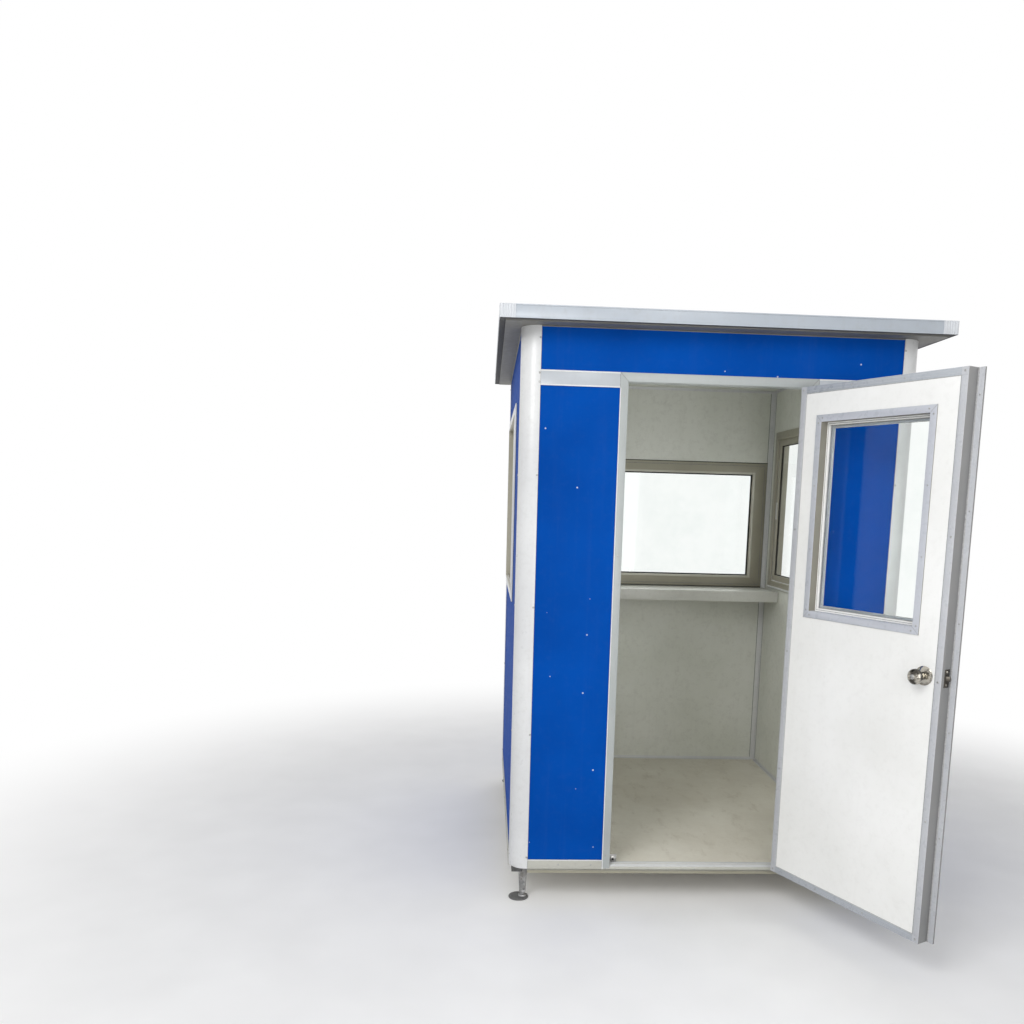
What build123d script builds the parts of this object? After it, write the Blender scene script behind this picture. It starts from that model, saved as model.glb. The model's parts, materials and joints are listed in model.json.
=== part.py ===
from build123d import *
from math import cos, radians, sin, sqrt
import os

# Small guard booth of insulated panels in aluminium profiles, standing on four levelling feet.
# Frame: X to the right seen from the front, Y from the front towards the back, Z up from the ground.
# The origin lies on the ground, in the middle of the room that the booth and its open door take up.

# Driving dimensions, in millimetres
body_width = 1550.0
body_depth = 1672.0
wall = 50.0
profile_skin = 3.0
foot_height = 130.0
body_height = 2158.0
roof_thickness = 55.0
roof_overhang_side = 85.0
roof_overhang_front = 89.0
roof_overhang_rear = 89.0
cap_proud = 2.0

opening_width = 706.0
opening_centre_x = -11.0
header_height = 162.0
threshold_height = 28.0
casing_width = 32.0
head_casing_height = 34.0
jamb_web = 8.0
rail_face = 58.0
rail_web = 6.0
bottom_rail_face = 39.0
bottom_rail_lip = 17.0

door_thickness = 53.0
door_edge_face = 25.0
door_edge_web = 6.0
door_skin = 1.5
door_lip_reach = 24.0
door_lip_thickness = 8.0
door_open_angle = 117.0
door_clearance = 5.0
hinge_side_clearance = 5.0
lock_height = 928.0

# How far a cutting shape runs past the faces that it cuts
cut_over = 1.0

# Derived positions shared by many pieces
half_body = body_width / 2
half_wall = half_body - profile_skin
inner_half = half_wall - wall
opening_left = opening_centre_x - opening_width / 2
opening_right = opening_centre_x + opening_width / 2
hinge_x = opening_right - hinge_side_clearance / 2
door_block_right = opening_right - hinge_side_clearance
# The inner latch corner swings past the jamb with the door clearance to spare
latch_swing = hinge_x - opening_left - door_clearance
door_block_left = hinge_x - sqrt(latch_swing**2 - door_thickness**2)
door_tip_x = door_block_left - door_lip_reach
door_face_proud = profile_skin + door_clearance + door_lip_thickness
door_reach = (hinge_x - door_tip_x) * sin(radians(door_open_angle))
door_front_reach = door_face_proud + door_reach + door_lip_thickness * -cos(radians(door_open_angle))

wall_depth = body_depth - 2 * profile_skin
rear_reach = wall_depth + profile_skin + roof_overhang_rear + cap_proud
front_y = -(rear_reach - door_front_reach) / 2
rear_y = front_y + wall_depth
inner_front_y = front_y + wall
inner_rear_y = rear_y - wall

body_z = foot_height
sill_z = body_z + threshold_height
soffit_z = body_z + body_height
roof_z = soffit_z + roof_thickness
rail_top_z = soffit_z - header_height
rail_bottom_z = rail_top_z - rail_face
head_z = rail_top_z - head_casing_height
web_z = head_z
header_z = web_z + rail_web
bottom_web_z = body_z + bottom_rail_lip
panel_z = bottom_web_z + profile_skin
floor_z = panel_z
bottom_rail_top_z = bottom_web_z + bottom_rail_face


def block(x0, x1, y0, y1, z0, z1):
    centre = Pos((x0 + x1) / 2, (y0 + y1) / 2, (z0 + z1) / 2)
    return centre * Box(x1 - x0, y1 - y0, z1 - z0)


def prism(points, direction, length):
    outline = make_face(Polyline(*points, close=True))
    return extrude(outline, amount=length, dir=direction)


def along_x(points, x0, x1):
    return prism([(x0, y, z) for y, z in points], (1, 0, 0), x1 - x0)


def along_y(points, y0, y1):
    return prism([(x, y0, z) for x, z in points], (0, 1, 0), y1 - y0)


def along_z(points, z0, z1):
    return prism([(x, y, z0) for x, y in points], (0, 0, 1), z1 - z0)


def mirrored_x(shape):
    return mirror(shape, about=Plane.YZ)


nodes = {}


# Corner posts: a quarter-round cover in front, slots for the two panels behind it
post_flange = 72.0
post_radius = 66.0
panel_seat = 54.0
inner_flange = 72.0


def post_section():
    skin = profile_skin
    centre = post_radius - skin
    arc_middle = centre - post_radius * cos(radians(45))
    cover = [
        Line((post_flange, -skin), (centre, -skin)),
        ThreePointArc((centre, -skin), (arc_middle, arc_middle), (-skin, centre)),
        Line((-skin, centre), (-skin, post_flange)),
    ]
    slots = Polyline(
        (-skin, post_flange),
        (0, post_flange),
        (0, panel_seat),
        (wall, panel_seat),
        (wall, inner_flange),
        (wall + skin, inner_flange),
        (wall + skin, wall + skin),
        (inner_flange, wall + skin),
        (inner_flange, wall),
        (panel_seat, wall),
        (panel_seat, 0),
        (post_flange, 0),
        (post_flange, -skin),
    )
    return make_face(cover + slots.edges())


def corner_post():
    # It stops above the bottom of the rails, on the foot's corner block
    length = soffit_z - bottom_web_z
    return Pos(0, 0, bottom_web_z) * extrude(post_section(), amount=length, dir=(0, 0, 1))


post = corner_post()
nodes["post_front_left"] = Pos(-half_wall, front_y, 0) * post
nodes["post_front_right"] = mirrored_x(nodes["post_front_left"])
rear_left = Pos(-half_wall, rear_y, 0) * mirror(post, about=Plane.XZ)
nodes["post_rear_left"] = rear_left
nodes["post_rear_right"] = mirrored_x(rear_left)


# Levelling feet: a corner block under the post, a tapered tube, and a round pad on a screw
pad_radius = 41.0
pad_thickness = 7.0
pad_bevel = 4.0
pad_offset = 16.0
screw_radius = 8.0
tube_low_z = 32.0
tube_top_radius = 19.0
tube_low_radius = 13.0
foot_inset = 57.0
block_setback = 8.0
floor_edge = wall + profile_skin


def turned(profile):
    outline = make_face(Polyline(*[(radius, 0, z) for radius, z in profile], close=True))
    return revolve(outline, axis=Axis.Z, revolution_arc=360)


def foot():
    # Front left foot, its tube on the Z axis, its pad offset outwards along -X
    pad = turned([(0, 0), (pad_radius, 0), (pad_radius - pad_bevel, pad_thickness), (0, pad_thickness)])
    stem = turned(
        [
            (0, 0),
            (screw_radius, 0),
            (screw_radius, tube_low_z),
            (tube_low_radius, tube_low_z),
            (tube_top_radius, foot_height),
            (0, foot_height),
        ]
    )
    inner = floor_edge - foot_inset
    outer = block_setback - foot_inset
    corner = block(outer, inner, outer, inner, foot_height, bottom_web_z)
    return Pos(-pad_offset, 0, 0) * pad + stem + corner


foot_x = half_wall - foot_inset
foot_front_y = front_y + foot_inset
foot_rear_y = rear_y - foot_inset
foot_front_left = Pos(-foot_x, foot_front_y, 0) * foot()
foot_rear_left = Pos(-foot_x, foot_rear_y, 0) * mirror(foot(), about=Plane.XZ)
nodes["feet"] = Compound(
    children=[foot_front_left, mirrored_x(foot_front_left), foot_rear_left, mirrored_x(foot_rear_left)]
)


# Bottom rails: channels that the panels stand in, with a set-back lip below the face
def bottom_rail_section():
    skin = profile_skin
    return [
        (-skin, bottom_web_z),
        (-skin, bottom_rail_top_z),
        (0, bottom_rail_top_z),
        (0, panel_z),
        (wall + skin, panel_z),
        (wall + skin, body_z),
        (wall, body_z),
        (wall, bottom_web_z),
        (2 * skin, bottom_web_z),
        (2 * skin, body_z),
        (skin, body_z),
        (skin, bottom_web_z),
    ]


def rail_outline(section, outer, direction):
    return [(outer + direction * depth, z) for depth, z in section]


rail_end_x = half_wall - post_flange
casing_left = opening_left - casing_width
casing_right = opening_right + casing_width
jamb_left_x = opening_left - jamb_web
jamb_right_x = opening_right + jamb_web

front_section = rail_outline(bottom_rail_section(), front_y, 1)
rail_left = along_x(front_section, -rail_end_x, casing_left)
rail_right = along_x(front_section, casing_right, rail_end_x)
nodes["bottom_rail_front"] = Compound(children=[rail_left, rail_right])

rear_section = rail_outline(bottom_rail_section(), rear_y, -1)
nodes["bottom_rail_rear"] = along_x(rear_section, -rail_end_x, rail_end_x)

side_rail_front = front_y + post_flange
side_rail_rear = rear_y - post_flange
side_section = rail_outline(bottom_rail_section(), -half_wall, 1)
nodes["bottom_rail_left"] = along_y(side_section, side_rail_front, side_rail_rear)
nodes["bottom_rail_right"] = mirrored_x(nodes["bottom_rail_left"])


# Threshold under the doorway, with a raised drip bead along its top
bead_width = 6.0
bead_height = 2.0
bead_setback = 26.0
bead_y = front_y + bead_setback


def threshold():
    skin = profile_skin
    base = block(casing_left, casing_right, front_y - skin, inner_front_y + skin, bottom_web_z, panel_z)
    lip = block(casing_left, casing_right, front_y + skin, front_y + 2 * skin, body_z, bottom_web_z)
    back = block(casing_left, casing_right, inner_front_y, inner_front_y + skin, body_z, bottom_web_z)
    sill = block(jamb_left_x, jamb_right_x, front_y, inner_front_y, panel_z, sill_z)
    face = block(opening_left, opening_right, front_y - skin, front_y, panel_z, sill_z)
    back_upstand = block(jamb_left_x, jamb_right_x, inner_front_y, inner_front_y + skin, panel_z, sill_z)
    bead = block(opening_left, opening_right, bead_y, bead_y + bead_width, sill_z, sill_z + bead_height)
    return base + lip + back + sill + face + back_upstand + bead


nodes["threshold"] = threshold()


# Floor: one board between the bottom rails
floor_board = 20.0
nodes["floor"] = block(
    -half_wall + floor_edge,
    half_wall - floor_edge,
    front_y + floor_edge,
    rear_y - floor_edge,
    floor_z - floor_board,
    floor_z,
)


# Front wall panels beside and over the doorway
panel_end_x = half_wall - panel_seat
nodes["front_panel_left"] = block(-panel_end_x, jamb_left_x, front_y, inner_front_y, panel_z, web_z)
nodes["front_panel_right"] = block(jamb_right_x, panel_end_x, front_y, inner_front_y, panel_z, web_z)
nodes["header_panel"] = block(-panel_end_x, panel_end_x, front_y, inner_front_y, header_z, soffit_z)


# Head rails: H profiles between the front panels and the header panel, with beaded edges
rail_bead = 6.0
rail_bead_proud = 1.5


def head_rail_section():
    skin = profile_skin
    bead = rail_bead
    proud = skin + rail_bead_proud
    inner = wall + skin
    return [
        (-proud, rail_bottom_z),
        (-proud, rail_bottom_z + bead),
        (-skin, rail_bottom_z + bead),
        (-skin, rail_top_z - bead),
        (-proud, rail_top_z - bead),
        (-proud, rail_top_z),
        (0, rail_top_z),
        (0, header_z),
        (wall, header_z),
        (wall, rail_top_z),
        (inner, rail_top_z),
        (inner, rail_bottom_z),
        (wall, rail_bottom_z),
        (wall, web_z),
        (0, web_z),
        (0, rail_bottom_z),
    ]


head_section = rail_outline(head_rail_section(), front_y, 1)
inner_rail_end = half_wall - inner_flange


def head_rail(x0, x1, inner_x0, inner_x1):
    rail = along_x(head_section, x0, x1)
    back = inner_front_y
    low = rail_bottom_z - cut_over
    high = rail_top_z + cut_over
    if inner_x0 > x0:
        rail = rail - block(x0 - cut_over, inner_x0, back, back + 2 * profile_skin, low, high)
    if inner_x1 < x1:
        rail = rail - block(inner_x1, x1 + cut_over, back, back + 2 * profile_skin, low, high)
    return rail


rail_left = head_rail(-rail_end_x, casing_left, -inner_rail_end, casing_left)
rail_right = head_rail(casing_right, rail_end_x, casing_right, inner_rail_end)
nodes["head_rail"] = Compound(children=[rail_left, rail_right])


# Door frame: two jambs and a head of one channel profile, mitred at the corners
def jamb_casing(y0, y1, foot_z):
    return along_y(
        [
            (opening_left, foot_z),
            (opening_left, head_z),
            (casing_left, rail_top_z),
            (casing_left, foot_z),
        ],
        y0,
        y1,
    )


strike_z = sill_z + lock_height
strike_height = 62.0
strike_width = 26.0
strike_depth = 2.0
bolt_height = 16.0
bolt_thickness = 11.0
bolt_throw = 11.0
strike_clearance = 2.0
bolt_clearance = 0.4
bolt_y = front_y - door_face_proud + door_thickness / 2


def bolt_hole(x0, x1):
    half_y = bolt_thickness / 2 + strike_clearance
    half_z = bolt_height / 2 + strike_clearance
    return block(x0, x1, bolt_y - half_y, bolt_y + half_y, strike_z - half_z, strike_z + half_z)


def plate_block(x0, x1):
    return block(
        x0,
        x1,
        bolt_y - strike_width / 2,
        bolt_y + strike_width / 2,
        strike_z - strike_height / 2,
        strike_z + strike_height / 2,
    )


def jamb():
    outer = jamb_casing(front_y - profile_skin, front_y, panel_z)
    inner = jamb_casing(inner_front_y, inner_front_y + profile_skin, sill_z)
    web = block(jamb_left_x, opening_left, front_y, inner_front_y, sill_z, head_z)
    return outer + inner + web


jamb_left = jamb()
shift = Pos(2 * opening_centre_x, 0, 0)
strike_plate = plate_block(opening_left - strike_depth, opening_left)
strike_hole = bolt_hole(jamb_left_x - cut_over, opening_left + cut_over)
nodes["door_jamb_left"] = jamb_left - strike_plate - strike_hole
nodes["door_jamb_right"] = shift * mirrored_x(jamb_left)
nodes["strike_plate"] = strike_plate - strike_hole


def door_head():
    face_points = [
        (opening_left, head_z),
        (opening_right, head_z),
        (casing_right, rail_top_z),
        (casing_left, rail_top_z),
    ]
    outer = along_y(face_points, front_y - profile_skin, front_y)
    inner = along_y(face_points, inner_front_y, inner_front_y + profile_skin)
    web = block(casing_left, casing_right, front_y, inner_front_y, web_z, header_z)
    return outer + inner + web


nodes["door_head"] = door_head()


# Side walls, each one panel with a window cut through it
side_window_front_margin = 518.0
side_window_rear_margin = 154.0
side_window_sill_height = 1084.0
side_window_head_drop = 264.0
side_wall_front = front_y + panel_seat
side_wall_rear = rear_y - panel_seat
window_front_y = front_y + side_window_front_margin
window_rear_y = rear_y - side_window_rear_margin
window_low_z = body_z + side_window_sill_height
window_high_z = soffit_z - side_window_head_drop

wall_left = block(-half_wall, -inner_half, side_wall_front, side_wall_rear, panel_z, soffit_z)
window_hole = block(
    -half_wall - cut_over, -inner_half + cut_over, window_front_y, window_rear_y, window_low_z, window_high_z
)
nodes["wall_left"] = wall_left - window_hole
nodes["wall_right"] = mirrored_x(nodes["wall_left"])


# Rear wall, one panel with a wide fixed window whose inner flange reaches the corner posts
counter_top = 1046.0
counter_z = body_z + counter_top
rear_side_flange = 55.0
rear_flange = 40.0
rear_post_gap = 2.0
rear_window_over_counter = 5.0
rear_window_head_drop = 405.0
rear_window_half = rail_end_x - rear_post_gap
rear_window_low_z = counter_z + rear_window_over_counter
rear_window_high_z = soffit_z - rear_window_head_drop
rear_hole_half = rear_window_half - rear_side_flange
rear_hole_low = rear_window_low_z + rear_flange
rear_hole_high = rear_window_high_z - rear_flange
rear_panel = block(-panel_end_x, panel_end_x, inner_rear_y, rear_y, panel_z, soffit_z)
rear_hole = block(
    -rear_hole_half,
    rear_hole_half,
    inner_rear_y - cut_over,
    rear_y + cut_over,
    rear_hole_low,
    rear_hole_high,
)
nodes["wall_rear"] = rear_panel - rear_hole


# Rear window: a deep frame with a flat inner flange, a raised bead round the pane, and one fixed pane
frame_wall = 22.0
flange_thickness = 5.0
outer_flange = 26.0
glass_thickness = 5.0
glass_bite = 8.0
glazing_bead_width = 11.0
glazing_bead_proud = 3.0
clear_half = rear_hole_half - frame_wall
clear_low_z = rear_hole_low + frame_wall
clear_high_z = rear_hole_high - frame_wall


def rear_ring(half_out, low_out, high_out, y0, y1):
    solid = block(-half_out, half_out, y0, y1, low_out, high_out)
    return solid - block(-clear_half, clear_half, y0 - cut_over, y1 + cut_over, clear_low_z, clear_high_z)


def rear_window_frame():
    body = rear_ring(rear_hole_half, rear_hole_low, rear_hole_high, inner_rear_y, rear_y)
    flange_y = inner_rear_y - flange_thickness
    inside = rear_ring(rear_window_half, rear_window_low_z, rear_window_high_z, flange_y, inner_rear_y)
    bead = rear_ring(
        clear_half + glazing_bead_width,
        clear_low_z - glazing_bead_width,
        clear_high_z + glazing_bead_width,
        flange_y - glazing_bead_proud,
        flange_y,
    )
    outside = rear_ring(
        rear_hole_half + outer_flange,
        rear_hole_low - outer_flange,
        rear_hole_high + outer_flange,
        rear_y,
        rear_y + profile_skin,
    )
    return body + inside + bead + outside


rear_glass_y = (inner_rear_y + rear_y - glass_thickness) / 2
rear_glass = block(
    -clear_half - glass_bite,
    clear_half + glass_bite,
    rear_glass_y,
    rear_glass_y + glass_thickness,
    clear_low_z - glass_bite,
    clear_high_z + glass_bite,
)
nodes["rear_window_frame"] = rear_window_frame() - rear_glass
nodes["rear_window_glass"] = rear_glass


# Side windows: a two-track frame, two sliding sashes that lap in the middle, a pane in each
window_flange = 28.0
track_wall = 14.0
side_flange_thickness = 6.0
side_bead_width = 10.0
side_bead_proud = 2.5
sash_stile = 34.0
sash_thickness = 20.0
sash_lap = 34.0
track_gap = 4.0
clear_front = window_front_y + track_wall
clear_rear = window_rear_y - track_wall
clear_low = window_low_z + track_wall
clear_high = window_high_z - track_wall


def ring_x(front, rear, low, high, grow, x0, x1):
    # A ring round the opening front to rear and low to high, as wide as grow
    solid = block(x0, x1, front - grow, rear + grow, low - grow, high + grow)
    return solid - block(x0 - cut_over, x1 + cut_over, front, rear, low, high)


def clear_ring(grow, x0, x1):
    return ring_x(clear_front, clear_rear, clear_low, clear_high, grow, x0, x1)


def side_window_frame():
    outer_x = -half_wall - side_flange_thickness
    inner_x = -inner_half + side_flange_thickness
    frame = clear_ring(track_wall, -half_wall, -inner_half)
    frame = frame + clear_ring(track_wall + window_flange, outer_x, -half_wall)
    frame = frame + clear_ring(track_wall + window_flange, -inner_half, inner_x)
    frame = frame + clear_ring(side_bead_width, outer_x - side_bead_proud, outer_x)
    return frame + clear_ring(side_bead_width, inner_x, inner_x + side_bead_proud)


nodes["side_window_frame_left"] = side_window_frame()
nodes["side_window_frame_right"] = mirrored_x(nodes["side_window_frame_left"])

sash_middle = (clear_front + clear_rear) / 2
sash_centre_x = -(half_wall + inner_half) / 2
outer_sash_x = sash_centre_x - track_gap / 2 - sash_thickness
inner_sash_x = sash_centre_x + track_gap / 2


def sash(front, rear, x0):
    pane_front = front + sash_stile
    pane_rear = rear - sash_stile
    pane_low = clear_low + sash_stile
    pane_high = clear_high - sash_stile
    frame = ring_x(pane_front, pane_rear, pane_low, pane_high, sash_stile, x0, x0 + sash_thickness)
    pane_x = x0 + (sash_thickness - glass_thickness) / 2
    pane = block(
        pane_x,
        pane_x + glass_thickness,
        pane_front - glass_bite,
        pane_rear + glass_bite,
        pane_low - glass_bite,
        pane_high + glass_bite,
    )
    return frame - pane, pane


front_sash, front_pane = sash(clear_front, sash_middle + sash_lap / 2, outer_sash_x)
rear_sash, rear_pane = sash(sash_middle - sash_lap / 2, clear_rear, inner_sash_x)
nodes["side_window_sashes_left"] = Compound(children=[front_sash, rear_sash])
nodes["side_window_sashes_right"] = Compound(children=[mirrored_x(front_sash), mirrored_x(rear_sash)])
nodes["side_window_glass_left"] = Compound(children=[front_pane, rear_pane])
nodes["side_window_glass_right"] = Compound(children=[mirrored_x(front_pane), mirrored_x(rear_pane)])


# Counter under the rear window: a board with a deep front edge, from wall to wall
counter_depth = 262.0
counter_front_height = 58.0
counter_board = 18.0
counter_lip = 18.0
counter_back_y = inner_rear_y - profile_skin
counter_front_y = counter_back_y - counter_depth
counter_half = inner_half - profile_skin
counter_section = [
    (counter_front_y, counter_z - counter_front_height),
    (counter_front_y, counter_z),
    (counter_back_y, counter_z),
    (counter_back_y, counter_z - counter_board),
    (counter_front_y + counter_lip, counter_z - counter_board),
    (counter_front_y + counter_lip, counter_z - counter_front_height),
]
nodes["counter"] = along_x(counter_section, -counter_half, counter_half)


# Angle trims where the walls meet the ceiling and the floor
trim_leg = 14.0
trim_skin = 2.0
trim_end_x = half_wall - inner_flange
trim_front_y = front_y + inner_flange
trim_rear_y = rear_y - inner_flange


def angle_trim(wall_face, direction, level, up):
    return [
        (wall_face, level),
        (wall_face + direction * trim_leg, level),
        (wall_face + direction * trim_leg, level + up * trim_skin),
        (wall_face + direction * trim_skin, level + up * trim_skin),
        (wall_face + direction * trim_skin, level + up * trim_leg),
        (wall_face, level + up * trim_leg),
    ]


def wall_trims(level, up):
    rear = along_x(angle_trim(inner_rear_y, -1, level, up), -trim_end_x, trim_end_x)
    left = along_y(angle_trim(-inner_half, 1, level, up), trim_front_y, trim_rear_y)
    return rear, left, mirrored_x(left)


floor_trims = wall_trims(floor_z, 1)
ceiling_trims = wall_trims(soffit_z, -1)
front_ceiling_trim = along_x(angle_trim(inner_front_y, 1, soffit_z, -1), -trim_end_x, trim_end_x)
nodes["skirting_trim"] = Compound(children=list(floor_trims))
nodes["ceiling_trim"] = Compound(children=list(ceiling_trims) + [front_ceiling_trim])


# Roof: a flat insulated slab in a fascia channel, with ribbed caps on the corners
roof_half = half_body + roof_overhang_side
roof_front = front_y - profile_skin - roof_overhang_front
roof_rear = rear_y + profile_skin + roof_overhang_rear
slab_inset = 22.0
fascia_drop = 5.0
fascia_skin = 3.0
fascia_flange = 45.0
fascia_lip = 5.0
fascia_lip_proud = 1.0
cap_length = 58.0
cap_corner_radius = 9.0
cap_rib_count = 5
cap_rib_depth = 2.0
slab_top = roof_z - fascia_skin
fascia_low = soffit_z + fascia_drop

nodes["roof_panel"] = block(
    -roof_half + slab_inset,
    roof_half - slab_inset,
    roof_front + slab_inset,
    roof_rear - slab_inset,
    soffit_z,
    slab_top,
)


def fascia_section(outer, direction):
    inner = outer + direction * fascia_skin
    slab = outer + direction * slab_inset
    flange = outer + direction * fascia_flange
    lip = outer - direction * fascia_lip_proud
    return [
        (lip, fascia_low),
        (lip, fascia_low + fascia_lip),
        (outer, fascia_low + fascia_lip),
        (outer, roof_z - fascia_lip),
        (lip, roof_z - fascia_lip),
        (lip, roof_z),
        (flange, roof_z),
        (flange, slab_top),
        (inner, slab_top),
        (inner, fascia_low + fascia_skin),
        (slab, fascia_low + fascia_skin),
        (slab, fascia_low),
    ]


fascia_front = along_x(fascia_section(roof_front, 1), -roof_half + cap_length, roof_half - cap_length)
fascia_rear = along_x(fascia_section(roof_rear, -1), -roof_half + cap_length, roof_half - cap_length)
fascia_left = along_y(fascia_section(-roof_half, 1), roof_front + cap_length, roof_rear - cap_length)
fascia_right = mirrored_x(fascia_left)
nodes["roof_fascia"] = Compound(children=[fascia_front, fascia_rear, fascia_left, fascia_right])


def corner_cap():
    # Front left cap, its outer corner at the origin, reaching along +X and +Y
    out = -cap_proud
    body = block(out, cap_length, out, cap_length, fascia_low, roof_z)
    corner = body.edges().filter_by(Axis.Z).sort_by(lambda edge: edge.center().X + edge.center().Y)[0]
    body = fillet(corner, radius=cap_corner_radius)
    end = cap_length + cut_over
    pocket = block(fascia_skin, end, fascia_skin, end, fascia_low + fascia_skin, slab_top)
    slab_room = block(slab_inset, end, slab_inset, end, fascia_low - cut_over, fascia_low + 2 * fascia_skin)
    body = body - pocket - slab_room
    low = fascia_low - cut_over
    high = roof_z + cut_over
    pitch = (cap_length - cap_corner_radius) / cap_rib_count
    for index in range(cap_rib_count):
        centre = cap_corner_radius + pitch * (index + 0.5)
        start = centre - pitch / 4
        stop = centre + pitch / 4
        body = body - block(start, stop, out - cut_over, out + cap_rib_depth, low, high)
        body = body - block(out - cut_over, out + cap_rib_depth, start, stop, low, high)
    return body


cap = corner_cap()
cap_front_left = Pos(-roof_half, roof_front, 0) * cap
cap_rear_left = Pos(-roof_half, roof_rear, 0) * mirror(cap, about=Plane.XZ)
nodes["roof_corner_caps"] = Compound(
    children=[cap_front_left, mirrored_x(cap_front_left), cap_rear_left, mirrored_x(cap_rear_left)]
)


# Door, modelled shut and then swung open about its hinge pins
door_out_y = front_y - door_face_proud
door_in_y = door_out_y + door_thickness
door_low_z = sill_z + door_clearance
door_high_z = head_z - door_clearance
leaf_out_y = door_out_y + door_skin
leaf_in_y = door_in_y - door_skin
leaf_middle_y = (leaf_out_y + leaf_in_y) / 2
hinge_y = door_out_y
knuckle_radius = 7.0
hinge_corner_cut = 9.0
hinge_corner_skin = 2.0
leaf_corner_cut = hinge_corner_cut + hinge_corner_skin * sqrt(2)

door_turn = Pos(hinge_x, hinge_y, 0) * Rot(0, 0, door_open_angle) * Pos(-hinge_x, -hinge_y, 0)

door_window_latch_margin = 124.5
door_window_hinge_margin = 107.5
door_window_top_margin = 133.0
door_window_over_lock = 156.0
knob_backset = 67.5
window_left = door_block_left + door_window_latch_margin
window_right = door_block_right - door_window_hinge_margin
door_window_low = strike_z + door_window_over_lock
door_window_high = door_high_z - door_window_top_margin
knob_x = door_block_left + knob_backset

spindle_radius = 5.0
spindle_bore = 8.0
bolt_length = 46.0
latch_plate_depth = 2.0


def hinge_edge_cut(shape):
    x = door_block_right
    y = door_out_y
    cut = leaf_corner_cut
    over = cut_over
    outline = [(x - cut, y), (x + over, y + cut + over), (x + over, y)]
    return shape - along_z(outline, door_low_z - over, door_high_z + over)


def door_leaf():
    leaf = block(
        door_block_left + door_edge_web,
        door_block_right - door_edge_web,
        leaf_out_y,
        leaf_in_y,
        door_low_z + door_edge_web,
        door_high_z - door_edge_web,
    )
    hole = block(
        window_left,
        window_right,
        leaf_out_y - cut_over,
        leaf_in_y + cut_over,
        door_window_low,
        door_window_high,
    )
    bore = Pos(knob_x, leaf_middle_y, strike_z) * Rot(90, 0, 0) * Cylinder(spindle_bore, 2 * wall)
    pocket = bolt_pocket(door_block_left, door_block_left + bolt_length)
    return hinge_edge_cut(leaf - hole - bore - pocket)


def bolt_pocket(x0, x1):
    half_y = bolt_thickness / 2 + bolt_clearance
    half_z = bolt_height / 2 + bolt_clearance
    return block(x0, x1, bolt_y - half_y, bolt_y + half_y, strike_z - half_z, strike_z + half_z)


def latch_stile_section():
    out = door_out_y
    face = door_block_left + door_edge_face
    web = door_block_left + door_edge_web
    return [
        (door_block_left, door_in_y),
        (face, door_in_y),
        (face, leaf_in_y),
        (web, leaf_in_y),
        (web, leaf_out_y),
        (face, leaf_out_y),
        (face, out),
        (door_tip_x, out),
        (door_tip_x, out + door_lip_thickness),
        (door_block_left, out + door_lip_thickness),
    ]


def hinge_stile_section():
    out = door_out_y
    face = door_block_right - door_edge_face
    web = door_block_right - door_edge_web
    return [
        (door_block_right, door_in_y),
        (face, door_in_y),
        (face, leaf_in_y),
        (web, leaf_in_y),
        (web, out + leaf_corner_cut - door_edge_web),
        (door_block_right - leaf_corner_cut + door_skin, leaf_out_y),
        (face, leaf_out_y),
        (face, out),
        (door_block_right - hinge_corner_cut, out),
        (door_block_right, out + hinge_corner_cut),
    ]


latch_stile = along_z(latch_stile_section(), door_low_z, door_high_z)
latch_plate = plate_block(door_block_left, door_block_left + latch_plate_depth)
edge_hole = bolt_pocket(door_block_left - cut_over, door_block_left + door_edge_web + cut_over)
latch_stile = latch_stile - latch_plate - edge_hole
latch_plate = latch_plate - edge_hole
hinge_stile = along_z(hinge_stile_section(), door_low_z, door_high_z)


def door_rail(edge_z, up):
    face = edge_z + up * door_edge_face
    web = edge_z + up * door_edge_web
    points = [
        (door_out_y, edge_z),
        (door_in_y, edge_z),
        (door_in_y, face),
        (leaf_in_y, face),
        (leaf_in_y, web),
        (leaf_out_y, web),
        (leaf_out_y, face),
        (door_out_y, face),
    ]
    return along_x(points, door_block_left + door_edge_face, door_block_right - door_edge_face)


door_bottom_rail = door_rail(door_low_z, 1)
door_top_rail = door_rail(door_high_z, -1)


# Door window: a flat trim ring on the inner face with a thin liner, a bead that holds the pane, and
# outside it a ring whose inner lip covers the pane's edge
door_trim_width = 24.0
door_trim_thickness = 3.0
liner = 2.0
door_bead = 13.0
door_bead_depth = 8.0
door_pane_lip = 22.0
door_pane_setback = 6.0
pane_out_y = leaf_out_y + door_pane_setback
pane_in_y = pane_out_y + glass_thickness


def door_window_ring(grow_out, grow_in, y0, y1):
    solid = block(
        window_left - grow_out,
        window_right + grow_out,
        y0,
        y1,
        door_window_low - grow_out,
        door_window_high + grow_out,
    )
    hole = block(
        window_left - grow_in,
        window_right + grow_in,
        y0 - cut_over,
        y1 + cut_over,
        door_window_low - grow_in,
        door_window_high + grow_in,
    )
    return solid - hole


bead_end_y = pane_in_y + door_bead_depth
trim_in = door_window_ring(door_trim_width, -liner, leaf_in_y, leaf_in_y + door_trim_thickness)
trim_in = trim_in + door_window_ring(0, -liner, bead_end_y, leaf_in_y)
trim_in = trim_in + door_window_ring(0, -door_bead, pane_in_y, bead_end_y)
trim_out = door_window_ring(door_trim_width, -door_pane_lip, leaf_out_y - door_trim_thickness, leaf_out_y)
trim_out = trim_out + door_window_ring(0, -door_pane_lip, leaf_out_y, pane_out_y)
door_glass = block(window_left, window_right, pane_out_y, pane_in_y, door_window_low, door_window_high)


# Knobs, roses and spindle
rose_radius = 33.0
rose_rim = 2.0
rose_height = 9.0
neck_radius = 12.0
neck_length = 21.0
neck_bore = 13.0
knob_radius = 27.0
knob_middle = 45.0
knob_half_depth = 20.0
knob_back_angle = -40.0
knob_face_angle = 50.0
knob_steps = 3
knob_gap = 0.5


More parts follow.
